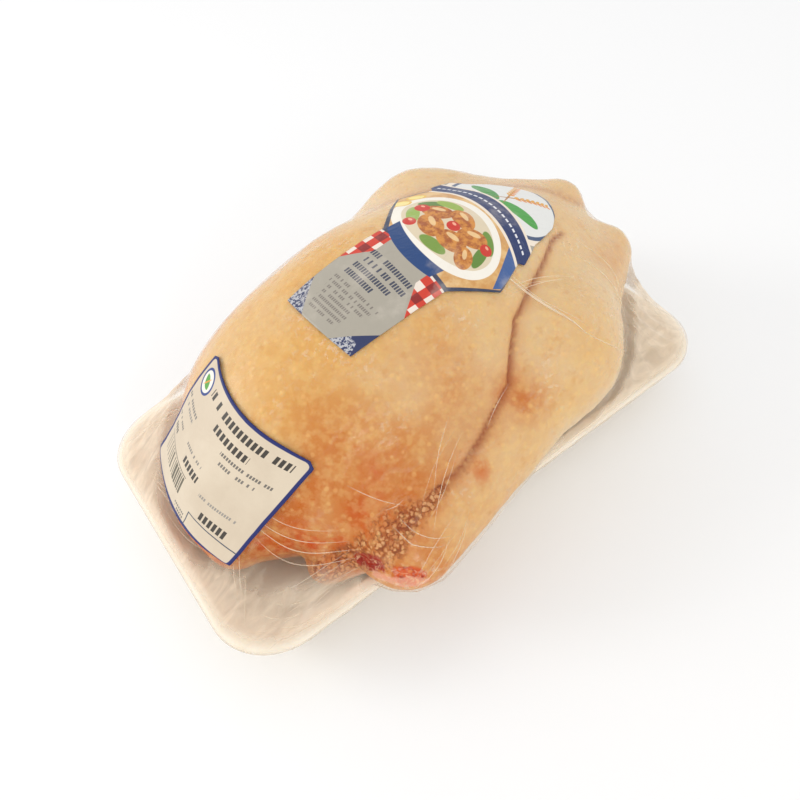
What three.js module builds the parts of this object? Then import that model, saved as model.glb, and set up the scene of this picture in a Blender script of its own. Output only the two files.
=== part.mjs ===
// A whole raw chicken, packed breast up on a white foam tray, under clear stretch film with two labels.
// Millimetres, +Z up. The origin is the middle of the tray's flat underside.
// +X runs from the neck end to the tail end, and +Y points to the bird's own left side.
import * as THREE from "three";

// Driving sizes of the tray: length and width over its rim, height, and the radius of its corners
const TRAY_LENGTH = 210;
const TRAY_WIDTH = 118;
const TRAY_HEIGHT = 23;
const TRAY_CORNER = 22;
const TRAY_FLARE = 13;
const FOAM = 3.5;
const RIM_WIDTH = 5;

// Room kept between pieces that touch, and between the film and a label on it
const GAP = 0.3;
const FILM = 0.4;
const LABEL_GAP = 0.5;
const LABEL_THICKNESS = 0.4;

// Rings of points between the film's edge on the rim and its top, and heights of rings inside the tray
const DOME_RINGS = 26;
const FLANK_STEPS = [0.1, 0.3, 0.55, 0.8, 1];
const SOLE_ROUNDING = 4;

// The bird rests this high, on the tray's floor
const BIRD_BASE = FOAM + GAP;

// The point that every surface is measured from, inside the breast
const HEART = new THREE.Vector3(0, 0, 36);

// Soft blends between the bird's muscles
const BLEND = { muscle: 15, rump: 13, neck: 11, tail: 8, leg: 4, thigh: 13, wing: 5, elbow: 5, base: 6, rim: 5 };

// Each muscle is an ellipsoid: its middle, its half sizes, and its nose-up tilt in degrees
const BREAST = { middle: [-1, 3, 43.7], half: [79.5, 50, 46], tilt: 5 };
const SHOULDERS = { middle: [-37, 1.5, 32], half: [48, 53, 35], tilt: 0 };
const RUMP = { middle: [48.5, 2, 41], half: [50.5, 35.5, 33.5], tilt: 0 };
const NECK = { middle: [-73, 0, 30], half: [18.5, 26, 20.5], tilt: 0 };
const TAIL = { middle: [96, 0, 32], half: [11, 11, 9.5], tilt: 0 };
const VENT = { middle: [103, 1, 43], half: [12, 13, 9], tilt: 0 };

// A leg runs from the knee over the drumstick's thick part to the hock; each point has its radius.
// The near leg has slid forward over the tray's rim, and the far one sits higher and further back.
const LEGS = [
  { knee: [-41, -54, 28], kneeR: 18.5, calf: [38, -31.5, 44], calfR: 25.5, hock: [89, -13, 47], hockR: 11 },
  { knee: [3.5, 46.5, 39], kneeR: 18.5, calf: [41, 36, 50.5], calfR: 26, hock: [86.5, 11, 58], hockR: 10.5 },
];

// A wing is folded against the shoulder: upper arm back to the elbow, forearm forward to the wrist
const WING = { shoulder: [-58, 32, 33.5], elbow: [-42, 51, 22.5], wrist: [-65, 43, 22.5], radii: [12, 9.5, 7.5] };

const vector = ([x, y, z]) => new THREE.Vector3(x, y, z);

// Smaller of two distances, with the corner between them filled over a width k
function blendMin(a, b, k) {
  const h = THREE.MathUtils.clamp(0.5 + (0.5 * (b - a)) / k, 0, 1);
  return b + (a - b) * h - k * h * (1 - h);
}

const blendMax = (a, b, k) => -blendMin(-a, -b, k);

function ellipsoid(p, { middle, half, tilt }) {
  const turn = THREE.MathUtils.degToRad(tilt);
  const dx = p.x - middle[0];
  const dz = p.z - middle[2];
  const x = dx * Math.cos(turn) + dz * Math.sin(turn);
  const y = p.y - middle[1];
  const z = dz * Math.cos(turn) - dx * Math.sin(turn);
  const unit = Math.hypot(x / half[0], y / half[1], z / half[2]);
  const slope = Math.hypot(x / half[0] ** 2, y / half[1] ** 2, z / half[2] ** 2);
  return (unit * (unit - 1)) / Math.max(slope, 1e-9);
}

function taperedLimb(p, from, to, fromR, toR) {
  const a = vector(from);
  const along = vector(to).sub(a);
  const t = THREE.MathUtils.clamp(p.clone().sub(a).dot(along) / along.lengthSq(), 0, 1);
  return p.distanceTo(a.addScaledVector(along, t)) - THREE.MathUtils.lerp(fromR, toR, t);
}

function leg(p, { knee, kneeR, calf, calfR, hock, hockR }) {
  const thigh = taperedLimb(p, knee, calf, kneeR, calfR);
  const shank = taperedLimb(p, calf, hock, calfR, hockR);
  return blendMin(thigh, shank, BLEND.thigh);
}

function wing(p, side) {
  const [shoulder, elbow, wrist] = [WING.shoulder, WING.elbow, WING.wrist].map(([x, y, z]) => [x, side * y, z]);
  const [shoulderR, elbowR, wristR] = WING.radii;
  const upperArm = taperedLimb(p, shoulder, elbow, shoulderR, elbowR);
  const forearm = taperedLimb(p, elbow, wrist, elbowR, wristR);
  return blendMin(upperArm, forearm, BLEND.elbow);
}

// The tray's inner face from its floor to its rim: how far it stands in from the outline at each height
const INNER_WALL = [
  { z: FOAM, inset: TRAY_FLARE + RIM_WIDTH + 3 },
  { z: FOAM + 2.5, inset: TRAY_FLARE + RIM_WIDTH - 1 },
  { z: TRAY_HEIGHT - 1.6, inset: RIM_WIDTH },
  { z: TRAY_HEIGHT, inset: RIM_WIDTH - 1.6 },
];

function innerInset(z) {
  const above = INNER_WALL.findIndex((row) => row.z > z);
  if (above < 0) return INNER_WALL[INNER_WALL.length - 1].inset;
  const high = INNER_WALL[Math.max(above, 1)];
  const low = INNER_WALL[Math.max(above, 1) - 1];
  return THREE.MathUtils.lerp(low.inset, high.inset, (z - low.z) / (high.z - low.z));
}

// Signed distance to a rectangle with round corners, whose sides stand in from the rim's outline by inset
function roundedOutline(p, inset) {
  const corner = TRAY_CORNER - inset * 0.5;
  const x = Math.abs(p.x) - (TRAY_LENGTH / 2 - inset - corner);
  const y = Math.abs(p.y) - (TRAY_WIDTH / 2 - inset - corner);
  return Math.hypot(Math.max(x, 0), Math.max(y, 0)) + Math.min(Math.max(x, y), 0) - corner;
}

// The bird's skin: negative inside. It bulges over the rim, and stays inside the tray's wall below it.
function bird(p) {
  let skin = ellipsoid(p, BREAST);
  skin = blendMin(skin, ellipsoid(p, SHOULDERS), BLEND.muscle);
  skin = blendMin(skin, ellipsoid(p, RUMP), BLEND.rump);
  skin = blendMin(skin, ellipsoid(p, NECK), BLEND.neck);
  skin = blendMin(skin, ellipsoid(p, TAIL), BLEND.tail);
  for (const side of LEGS) skin = blendMin(skin, leg(p, side), BLEND.leg);
  for (const side of [-1, 1]) skin = blendMin(skin, wing(p, side), BLEND.wing);
  skin = blendMax(skin, -ellipsoid(p, VENT), BLEND.base);
  const insideTray = roundedOutline(p, innerInset(p.z) + GAP * 2);
  const aboveRim = TRAY_HEIGHT + GAP - p.z;
  skin = blendMax(skin, Math.min(insideTray, aboveRim), BLEND.rim);
  return blendMax(skin, BIRD_BASE - p.z, BLEND.base);
}

// Distance from a point, along a direction, to the outermost place where a shape is met
function reach(from, direction, shape, furthest) {
  let r = furthest;
  const p = new THREE.Vector3();
  for (let step = 0; step < 90; step++) {
    const distance = shape(p.copy(from).addScaledVector(direction, r));
    if (distance < 0.02) break;
    r -= distance * 0.7;
  }
  return r;
}

// Cotangent weights between the corners of triangles, which count a neighbour by how near and wide it lies
function cotangentWeights(points, faces) {
  const weights = points.map(() => new Map());
  const add = (i, j, w) => weights[i].set(j, (weights[i].get(j) ?? 0) + w);
  for (let f = 0; f < faces.length; f += 3) {
    for (let k = 0; k < 3; k++) {
      const [i, j, apex] = [faces[f + k], faces[f + ((k + 1) % 3)], faces[f + ((k + 2) % 3)]];
      const a = points[i].clone().sub(points[apex]);
      const b = points[j].clone().sub(points[apex]);
      const w = a.dot(b) / Math.max(a.clone().cross(b).length(), 1e-9) / 2;
      add(i, j, w);
      add(j, i, w);
    }
  }
  return weights.map((map) => [...map.entries()]);
}

// Stretches the film: seen from the heart, 1 / distance is even over a flat sheet, so each free corner
// takes the mean of its neighbours. The film never goes inside the pack, and its first ring stays held.
function stretchedFilm(directions, faces, touching, heldCount, rounds) {
  const weights = cotangentWeights(directions, faces);
  const held = touching.map((r) => 1 / r);
  const film = held.slice();
  for (let round = 0; round < rounds; round++) {
    for (let i = heldCount; i < film.length; i++) {
      let [sum, spread] = [0, 0];
      for (const [j, w] of weights[i]) {
        sum += w * film[j];
        spread += w * directions[j].dot(directions[i]);
      }
      film[i] = Math.min(held[i], sum / spread);
    }
  }
  return film.map((value) => 1 / value);
}

// One ring of a loft: a rectangle with round corners, inset from the tray's outline, at a height
function ring(inset, z, cornerSteps = 9, longSteps = 6, shortSteps = 4) {
  const corner = TRAY_CORNER - inset * 0.5;
  const x = TRAY_LENGTH / 2 - inset - corner;
  const y = TRAY_WIDTH / 2 - inset - corner;
  const points = [];
  const middles = [[x, y], [-x, y], [-x, -y], [x, -y]];
  middles.forEach(([cx, cy], quarter) => {
    const start = (quarter * Math.PI) / 2;
    for (let k = 0; k <= cornerSteps; k++) {
      const angle = start + ((Math.PI / 2) * k) / cornerSteps;
      points.push(new THREE.Vector3(cx + corner * Math.cos(angle), cy + corner * Math.sin(angle), z));
    }
    const last = points[points.length - 1];
    const [nx, ny] = middles[(quarter + 1) % 4];
    const end = start + Math.PI / 2;
    const next = new THREE.Vector3(nx + corner * Math.cos(end), ny + corner * Math.sin(end), z);
    const sideSteps = quarter % 2 === 0 ? longSteps : shortSteps;
    for (let k = 1; k < sideSteps; k++) points.push(last.clone().lerp(next, k / sideSteps));
  });
  return points;
}

// A closed solid through rings that all have the same number of points, from its underside to its top
function loft(rings) {
  const count = rings[0].length;
  const points = rings.flat();
  const faces = [];
  for (let r = 0; r + 1 < rings.length; r++) {
    for (let i = 0; i < count; i++) {
      const a = r * count + i;
      const b = r * count + ((i + 1) % count);
      faces.push(a, b, b + count, a, b + count, a + count);
    }
  }
  const cap = (first, up) => {
    const middle = new THREE.Vector3();
    for (let i = 0; i < count; i++) middle.addScaledVector(points[first + i], 1 / count);
    const centre = points.push(middle) - 1;
    for (let i = 0; i < count; i++) {
      const edge = [first + i, first + ((i + 1) % count)];
      faces.push(centre, ...(up ? edge : edge.reverse()));
    }
  };
  cap(0, false);
  cap((rings.length - 1) * count, true);
  return new THREE.BufferGeometry().setFromPoints(points).setIndex(faces);
}

// The foam tray: a flat base with a pressed groove, a flared wall, a rolled rim, and a flat floor inside
function trayGeometry() {
  const roll = 1.6;
  const grooveInset = TRAY_FLARE + 11;
  const grooveDepth = 0.8;
  return loft([
    ring(grooveInset + 2.5, 0),
    ring(grooveInset + 1, grooveDepth),
    ring(grooveInset - 1, grooveDepth),
    ring(grooveInset - 2.5, 0),
    ring(TRAY_FLARE + 2, 0),
    ring(TRAY_FLARE, 1.5),
    ring(FOAM * 0.6, TRAY_HEIGHT - FOAM - 1),
    ring(roll * 0.4, TRAY_HEIGHT - FOAM),
    ring(0, TRAY_HEIGHT - roll),
    ring(roll * 0.4, TRAY_HEIGHT - roll * 0.3),
    ring(roll * 1.2, TRAY_HEIGHT),
    ...INNER_WALL.toReversed().map(({ z, inset }) => ring(inset, z)),
  ]);
}

// The bird and all that the film closes round it, down to the tray's rim, as one solid.
// From below: the bird's flat base, its flanks inside the tray, the film's edge on the rim, and the dome.
function wrappedBird() {
  const rimHeight = TRAY_HEIGHT + GAP;
  const edge = ring(0.4, rimHeight, 9, 20, 12);
  const count = edge.length;

  const insideWall = (p) => Math.max(bird(p), roundedOutline(p, innerInset(p.z) + GAP * 2));
  const flanks = FLANK_STEPS.map((t) => {
    const z = THREE.MathUtils.lerp(BIRD_BASE, rimHeight, t);
    return edge.map((rimPoint) => {
      const outward = new THREE.Vector3(rimPoint.x, rimPoint.y, 0).normalize();
      const axis = new THREE.Vector3(HEART.x, HEART.y, z);
      return axis.clone().addScaledVector(outward, reach(axis, outward, insideWall, 130));
    });
  });
  const sole = flanks[0].map((p) => new THREE.Vector3(p.x, p.y, 0));
  flanks.unshift(sole.map((p) => p.setLength(p.length() - SOLE_ROUNDING).setZ(BIRD_BASE)));

  const directions = [];
  const arcs = edge.map((rimPoint) => rimPoint.clone().sub(HEART).normalize());
  const up = new THREE.Vector3(0, 0, 1);
  for (let k = 0; k < DOME_RINGS; k++) {
    for (const low of arcs) {
      const axis = low.clone().cross(up).normalize();
      directions.push(low.clone().applyAxisAngle(axis, (low.angleTo(up) * k) / DOME_RINGS));
    }
  }
  const pole = directions.push(up) - 1;
  const faces = [];
  for (let k = 0; k < DOME_RINGS; k++) {
    for (let i = 0; i < count; i++) {
      const a = k * count + i;
      const b = k * count + ((i + 1) % count);
      if (k === DOME_RINGS - 1) faces.push(a, b, pole);
      else faces.push(a, b, b + count, a, b + count, a + count);
    }
  }
  const touching = directions.map((direction, i) => {
    return i < count ? edge[i].distanceTo(HEART) : reach(HEART, direction, bird, 150) + FILM;
  });
  const radii = stretchedFilm(directions, faces, touching, count, 400);
  const dome = directions.map((direction, i) => HEART.clone().addScaledVector(direction, radii[i]));

  const lower = flanks.flat();
  const shifted = faces.map((i) => i + lower.length);
  for (let k = 0; k < flanks.length; k++) {
    for (let i = 0; i < count; i++) {
      const a = k * count + i;
      const b = k * count + ((i + 1) % count);
      shifted.push(a, b, b + count, a, b + count, a + count);
    }
  }
  const points = [...lower, ...dome];
  const base = points.push(new THREE.Vector3(HEART.x, HEART.y, BIRD_BASE)) - 1;
  for (let i = 0; i < count; i++) shifted.push(base, (i + 1) % count, i);
  return new THREE.BufferGeometry().setFromPoints(points).setIndex(shifted);
}

// A label is a flat sheet laid over the film. Its print's up direction and its text's direction run
// through its middle, and each row of its outline is a height on the sheet with its left and right ends.
const PRODUCT_LABEL = {
  middle: [12, -5, 84.5],
  up: [1, 0, 0],
  text: [0, -1, 0],
  columns: 14,
  rows: [
    { up: -47, left: -14, right: 18 },
    { up: -8, left: -14, right: 17 },
    { up: 11, left: -33, right: 28 },
    { up: 24, left: -29, right: 21 },
    { up: 27, left: -33, right: 23 },
    { up: 38, left: -34, right: 17 },
    { up: 44, left: -29, right: 16 },
    { up: 56, left: -26, right: 13 },
    { up: 65, left: -19, right: 7 },
    { up: 71, left: -9, right: -1 },
  ],
};
const PRICE_LABEL = {
  middle: [-71.2, -5.6, 52],
  up: [31.4, -5.9, 28.9],
  text: [-6.7, -47.7, -12.4],
  columns: 12,
  rows: [
    { up: -23, left: -23.5, right: 23.5 },
    { up: -20.5, left: -26, right: 26 },
    { up: 20.5, left: -26, right: 26 },
    { up: 23, left: -23.5, right: 23.5 },
  ],
};
const LABEL_STEP = 4.5;

// Rows of a label's outline, with more of them put in wherever two are further apart than a step
function finerRows(rows) {
  const finer = [rows[0]];
  for (let k = 1; k < rows.length; k++) {
    const [low, high] = [rows[k - 1], rows[k]];
    const pieces = Math.max(1, Math.round((high.up - low.up) / LABEL_STEP));
    for (let i = 1; i <= pieces; i++) {
      const mix = (key) => THREE.MathUtils.lerp(low[key], high[key], i / pieces);
      finer.push({ up: mix("up"), left: mix("left"), right: mix("right") });
    }
  }
  return finer;
}

function labelGeometry(label, surface) {
  const up = vector(label.up).normalize();
  const text = vector(label.text).normalize();
  text.addScaledVector(up, -text.dot(up)).normalize();
  const caster = new THREE.Raycaster();
  const lower = [];
  const upper = [];
  const rows = finerRows(label.rows);
  for (const row of rows) {
    for (let i = 0; i <= label.columns; i++) {
      const across = THREE.MathUtils.lerp(row.left, row.right, i / label.columns);
      const flat = vector(label.middle).addScaledVector(up, row.up).addScaledVector(text, across);
      const direction = flat.sub(HEART).normalize();
      caster.set(HEART, direction);
      const r = caster.intersectObject(surface)[0].distance;
      lower.push(HEART.clone().addScaledVector(direction, r + LABEL_GAP));
      upper.push(HEART.clone().addScaledVector(direction, r + LABEL_GAP + LABEL_THICKNESS));
    }
  }
  const width = label.columns + 1;
  const top = lower.length;
  const faces = [];
  const quad = (a, b, c, d) => faces.push(a, b, c, a, c, d);
  for (let j = 0; j + 1 < rows.length; j++) {
    for (let i = 0; i < label.columns; i++) {
      const a = j * width + i;
      quad(top + a, top + a + 1, top + a + width + 1, top + a + width);
      faces.push(a, a + width + 1, a + 1, a, a + width, a + width + 1);
    }
  }
  const last = (rows.length - 1) * width;
  const border = [];
  for (let i = 0; i < label.columns; i++) border.push(i);
  for (let j = 0; j < rows.length - 1; j++) border.push(j * width + label.columns);
  for (let i = label.columns; i > 0; i--) border.push(last + i);
  for (let j = rows.length - 1; j > 0; j--) border.push(j * width);
  border.forEach((a, k) => {
    const b = border[(k + 1) % border.length];
    quad(a, b, top + b, top + a);
  });
  return new THREE.BufferGeometry().setFromPoints([...lower, ...upper]).setIndex(faces);
}

const material = (colour, roughness) => new THREE.MeshStandardMaterial({ color: colour, roughness, metalness: 0 });

const wrapped = wrappedBird();
const filmSurface = new THREE.Mesh(wrapped, new THREE.MeshStandardMaterial({ side: THREE.DoubleSide }));

const pack = new THREE.Group();
const pieces = [
  ["tray", trayGeometry(), material("#f3efe9", 0.6)],
  ["film_wrapped_chicken", wrapped, material("#e0b98c", 0.35)],
  ["product_label", labelGeometry(PRODUCT_LABEL, filmSurface), material("#24406f", 0.4)],
  ["price_label", labelGeometry(PRICE_LABEL, filmSurface), material("#f0e9e2", 0.5)],
];
for (const [name, geometry, look] of pieces) {
  const mesh = new THREE.Mesh(geometry, look);
  mesh.name = name;
  pack.add(mesh);
}

export default pack;
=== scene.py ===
# %% [markdown]
# A small whole chicken, raw and frozen, is sold breast up on a white foam tray. Clear stretch film is pulled
# tight over the bird and the tray's rim and gathered underneath, and two labels are stuck on the film.
# The imported CAD model holds the tray, the wrapped bird and the labels. It loads first, and its box is noted.

# %% Load the imported model
import math

import bmesh
import bpy
import numpy as np
from mathutils import Matrix, Vector
from mathutils.bvhtree import BVHTree


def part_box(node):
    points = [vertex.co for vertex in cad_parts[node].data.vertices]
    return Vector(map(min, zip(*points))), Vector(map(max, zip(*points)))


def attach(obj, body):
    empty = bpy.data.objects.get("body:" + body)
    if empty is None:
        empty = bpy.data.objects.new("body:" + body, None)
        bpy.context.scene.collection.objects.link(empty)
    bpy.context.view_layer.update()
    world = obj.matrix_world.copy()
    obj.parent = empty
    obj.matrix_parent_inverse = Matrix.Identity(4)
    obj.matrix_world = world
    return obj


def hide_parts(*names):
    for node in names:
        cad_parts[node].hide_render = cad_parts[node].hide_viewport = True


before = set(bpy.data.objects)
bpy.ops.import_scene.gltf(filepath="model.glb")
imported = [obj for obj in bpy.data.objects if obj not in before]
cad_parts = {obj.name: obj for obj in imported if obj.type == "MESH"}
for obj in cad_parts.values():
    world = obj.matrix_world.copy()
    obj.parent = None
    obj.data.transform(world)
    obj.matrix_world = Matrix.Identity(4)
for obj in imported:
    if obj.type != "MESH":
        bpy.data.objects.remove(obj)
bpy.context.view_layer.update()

# %% [markdown]
# All sizes below are in millimetres, as on the CAD side, and a mesh is scaled to metres when it is made.
# The tray's own sizes are read from its node, and the rest follow the same names as in the CAD source.

# %% Sizes of the tray and the gaps
MM = 0.001
tray_low, tray_high = (np.array(corner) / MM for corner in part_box("tray"))
TRAY_LENGTH, TRAY_WIDTH, TRAY_HEIGHT = tray_high - tray_low
TRAY_CORNER = 22
TRAY_FLARE = 13
FOAM = 3.5
RIM_WIDTH = 5
RIM_ROLL = 1.6
GAP = 0.3
FILM = 0.4
BIRD_BASE = FOAM + GAP
HEART = np.array([0.0, 0.0, 36.0])
print("tray in mm:", round(TRAY_LENGTH), "x", round(TRAY_WIDTH), "x", round(TRAY_HEIGHT))

# %% [markdown]
# The bird is a sum of soft muscles. Each is a signed distance, negative inside, and a blended minimum melts
# two of them together the way skin stretches over a joint. This gives one smooth skin with creases just
# where two muscles meet, which would be slow to model by hand. numpy works on all points at once.

# %% Distances and soft blends
def blend_min(a, b, width):
    h = np.clip(0.5 + 0.5 * (b - a) / width, 0, 1)
    return b + (a - b) * h - width * h * (1 - h)


def blend_max(a, b, width):
    return -blend_min(-a, -b, width)


def smooth_step(value, low, high):
    t = np.clip((value - low) / (high - low), 0, 1)
    return t * t * (3 - 2 * t)


def ellipsoid(p, middle, half, tilt=0):
    q = p - middle
    turn = math.radians(tilt)
    x = q[:, 0] * math.cos(turn) + q[:, 2] * math.sin(turn)
    z = q[:, 2] * math.cos(turn) - q[:, 0] * math.sin(turn)
    q = np.stack([x, q[:, 1], z], axis=1)
    unit = np.linalg.norm(q / half, axis=1)
    slope = np.linalg.norm(q / np.square(half), axis=1)
    return unit * (unit - 1) / np.maximum(slope, 1e-9)


def tapered_limb(p, start, end, start_radius, end_radius):
    start, end = np.array(start, float), np.array(end, float)
    along = end - start
    t = np.clip((p - start) @ along / (along @ along), 0, 1)
    nearest = start + t[:, None] * along
    return np.linalg.norm(p - nearest, axis=1) - (start_radius + (end_radius - start_radius) * t)


# %% [markdown]
# The muscles stand where the CAD solid has them. The near leg has slid forward over the tray's rim, and the
# far one sits higher and further back. The wings are folded against the shoulders. The film bulges over the
# near knee's full width, while its flesh stands back a little where the skin has drawn off the meat.

# %% Muscles, legs and wings
NEAR_LEG = dict(knee=(-41, -54, 28), calf=(38, -31.5, 44), hock=(89, -13, 47), radii=(18.2, 25.5, 11))
NEAR_LEG_FLESH = dict(NEAR_LEG, knee=(-41, -53.8, 28.5), radii=(17.5, 25.5, 11))
FAR_LEG = dict(knee=(3.5, 46.5, 39), calf=(41, 36, 50.5), hock=(86.5, 11, 58), radii=(18.5, 26, 10.5))
WING = dict(shoulder=(-58, 32, 33.5), elbow=(-42, 51, 22.5), wrist=(-65, 43, 22.5), radii=(12, 9.5, 7.5))
WING_FLESH = dict(WING, elbow=(-42, 50.5, 23), wrist=(-65, 43, 24), radii=(12, 8.8, 7.2))


def leg_distance(p, leg):
    knee_radius, calf_radius, hock_radius = leg["radii"]
    thigh = tapered_limb(p, leg["knee"], leg["calf"], knee_radius, calf_radius)
    shank = tapered_limb(p, leg["calf"], leg["hock"], calf_radius, hock_radius)
    return blend_min(thigh, shank, 13)


def wing_distance(p, side, wing):
    turned = {part: np.array(wing[part]) * (1, side, 1) for part in ("shoulder", "elbow", "wrist")}
    shoulder_radius, elbow_radius, wrist_radius = wing["radii"]
    upper = tapered_limb(p, turned["shoulder"], turned["elbow"], shoulder_radius, elbow_radius)
    fore = tapered_limb(p, turned["elbow"], turned["wrist"], elbow_radius, wrist_radius)
    return blend_min(upper, fore, 5)


def trunk_distance(p):
    trunk = ellipsoid(p, (-1, 3, 43.7), (79.5, 50, 46), tilt=5)
    trunk = blend_min(trunk, ellipsoid(p, (-37, 1.5, 32), (48, 53, 35)), 15)
    trunk = blend_min(trunk, ellipsoid(p, (48.5, 2, 41), (50.5, 35.5, 33.5)), 13)
    trunk = blend_min(trunk, ellipsoid(p, (-75, -2, 30), (19, 28, 20.5)), 11)
    trunk = blend_min(trunk, ellipsoid(p, (96, 0, 32), (11, 11, 9.5)), 8)
    return trunk


# %% [markdown]
# Below the rim the bird stays inside the tray, whose inner wall is the same profile as the CAD tray's. The
# film is stretched over fuller limbs than the flesh has, so one function serves both.

# %% The bird as one distance
NECK_FOLD = (-87, -4, 27)
INNER_WALL_HEIGHTS = [FOAM, FOAM + 2.5, TRAY_HEIGHT - RIM_ROLL, TRAY_HEIGHT]
INNER_WALL_INSETS = [TRAY_FLARE + RIM_WIDTH + 3, TRAY_FLARE + RIM_WIDTH - 1, RIM_WIDTH, RIM_WIDTH - RIM_ROLL]


def rounded_outline(p, inset):
    corner = TRAY_CORNER - inset * 0.5
    x = np.abs(p[:, 0]) - (TRAY_LENGTH / 2 - inset - corner)
    y = np.abs(p[:, 1]) - (TRAY_WIDTH / 2 - inset - corner)
    outside = np.hypot(np.maximum(x, 0), np.maximum(y, 0))
    return outside + np.minimum(np.maximum(x, y), 0) - corner


def body_distance(p, near_leg, wing, leg_blend):
    skin = blend_min(trunk_distance(p), leg_distance(p, near_leg), leg_blend)
    skin = blend_min(skin, leg_distance(p, FAR_LEG), leg_blend)
    for side in (-1, 1):
        skin = blend_min(skin, wing_distance(p, side, wing), 4)
    skin = blend_max(skin, -ellipsoid(p, (103, 1, 43), (12, 13, 9)), 6)
    inside_tray = rounded_outline(p, np.interp(p[:, 2], INNER_WALL_HEIGHTS, INNER_WALL_INSETS) + 2 * GAP)
    skin = blend_max(skin, np.minimum(inside_tray, TRAY_HEIGHT + GAP - p[:, 2]), 5)
    return blend_max(skin, BIRD_BASE - p[:, 2], 6)


def flesh_distance(p):
    neck_fold = ellipsoid(p, NECK_FOLD, (9, 24, 8))
    return blend_min(body_distance(p, NEAR_LEG_FLESH, WING_FLESH, 5), neck_fold, 6)


def film_support(p):
    return body_distance(p, NEAR_LEG, WING, 4)


# %% [markdown]
# Every line from a point inside the breast meets the skin once, so a ball of even triangles can be pulled
# out along those lines until each corner lies on the skin. Steps shrink near the skin, so none goes too far.

# %% Lines from the heart
def reach(directions, distance, furthest=170.0, steps=70):
    radius = np.full(len(directions), furthest)
    for _ in range(steps):
        gap = distance(HEART + directions * radius[:, None])
        radius -= np.maximum(gap, -2) * 0.7
    return radius


def near_ray(p, point, radius):
    """1 on the line from the heart through a point, falling to 0 at about twice the radius beside it."""
    out = p - HEART
    along = np.array(point, float) - HEART
    along /= np.linalg.norm(along)
    beside = np.linalg.norm(out - (out @ along)[:, None] * along, axis=1) + 1e3 * (out @ along < 0)
    return np.exp(-np.square(beside / radius))


def near_path(p, path, radii):
    """The same along a path of points, with a radius for each."""
    out = p - HEART
    best = np.zeros(len(p))
    for k in range(len(path) - 1):
        first, second = (np.array(corner, float) - HEART for corner in path[k:k + 2])
        cross = first @ second
        to_first = (out @ first) * (second @ second) - (out @ second) * cross
        to_second = (out @ second) * (first @ first) - (out @ first) * cross
        t = np.clip(to_second / np.maximum(to_first + to_second, 1e-9), 0, 1)
        along = first + t[:, None] * (second - first)
        along /= np.linalg.norm(along, axis=1)[:, None]
        reached = (out * along).sum(axis=1)
        beside = np.linalg.norm(out - reached[:, None] * along, axis=1) + 1e3 * (reached < 0)
        best = np.maximum(best, np.exp(-np.square(beside / (radii[k] + (radii[k + 1] - radii[k]) * t))))
    return best


# %% [markdown]
# Finer relief is added along the same lines. The skin puckers in soft ripples: summed sine waves in seeded
# random directions give such a ripple at every point of space. A deep crease parts the near leg from the
# breast, and at the knee the skin has drawn back from torn, slightly sunken meat.

# %% Fine relief of the skin
CREASE_PATH = [
    (60, -16, 73), (54, -18.5, 75.5), (44, -24.6, 75), (31.5, -31, 74.5), (21, -36, 71.5), (14.5, -41, 66),
    (8.5, -47.3, 60), (0, -50.5, 56.5), (-9.6, -54, 53), (-17.6, -56.2, 50.5), (-28.5, -57.3, 48),
    (-39.5, -57.7, 45.7), (-45, -58, 44.5), (-51, -58.2, 41.3),
]
CREASE_RADII = [0.7, 0.8, 0.8, 0.8, 0.9, 0.9, 0.9, 0.9, 1.0, 1.0, 1.2, 1.4, 1.6, 1.8]
GRAIN_PATH = [
    (-28, -57.3, 48), (-39.5, -57.7, 45.7), (-46, -58, 43.6),
    (-51, -57.5, 40.5), (-56, -55, 36), (-60, -51, 31.5),
    (-67, -48.5, 28.5), (-72, -45.5, 26),
]
GRAIN_RADII = [1.0, 2.4, 4.0, 4.8, 4.4, 4.4, 4.2, 3.4]
BARE_MEAT = [
    ([(-55, -58.5, 35.6), (-59.5, -54.5, 32)], [2.6, 2.4]),
    ([(-51, -66, 34.2), (-48, -68.3, 33)], [3.8, 3.4]),
]
PUCKER_HEIGHT = 0.26
WRINKLE_HEIGHT = 0.12
CREASE_DEPTH = 1.3
GRAIN_HEIGHT = 0.35
MEAT_DEPTH = 1.2


def ripple(p, wavelength, seed, waves=14):
    draw = np.random.default_rng(seed)
    total = np.zeros(len(p))
    for _ in range(waves):
        direction = draw.normal(size=3)
        direction /= np.linalg.norm(direction)
        stretch = wavelength * draw.uniform(0.6, 1.6)
        total += np.sin(p @ direction * (2 * math.pi / stretch) + draw.uniform(0, 2 * math.pi))
    return total / math.sqrt(waves)


def relief(p):
    high = PUCKER_HEIGHT * ripple(p, 22, 3) + WRINKLE_HEIGHT * ripple(p, 7, 8)
    high -= CREASE_DEPTH * near_path(p, CREASE_PATH, CREASE_RADII)
    high += GRAIN_HEIGHT * near_path(p, GRAIN_PATH, GRAIN_RADII) * ripple(p, 2.6, 17)
    bare = np.maximum(*[near_path(p, path, radii) for path, radii in BARE_MEAT])
    bare = smooth_step(bare + 0.12 * ripple(p, 4.5, 21), 0.45, 0.7)
    high -= bare * (MEAT_DEPTH + 0.4 * ripple(p, 3.6, 5))
    return high * smooth_step(p[:, 2], 8, 16)


def skin_reach(directions):
    radius = reach(directions, flesh_distance)
    return radius + relief(HEART + directions * radius[:, None])


# %% Pull a ball of points onto the skin
def mesh_object(name, points, faces):
    mesh = bpy.data.meshes.new(name)
    mesh.from_pydata((np.asarray(points) * MM).tolist(), [], [list(face) for face in faces])
    mesh.validate()
    mesh.shade_smooth()
    made = bpy.data.objects.new(name, mesh)
    bpy.context.scene.collection.objects.link(made)
    return made


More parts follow.
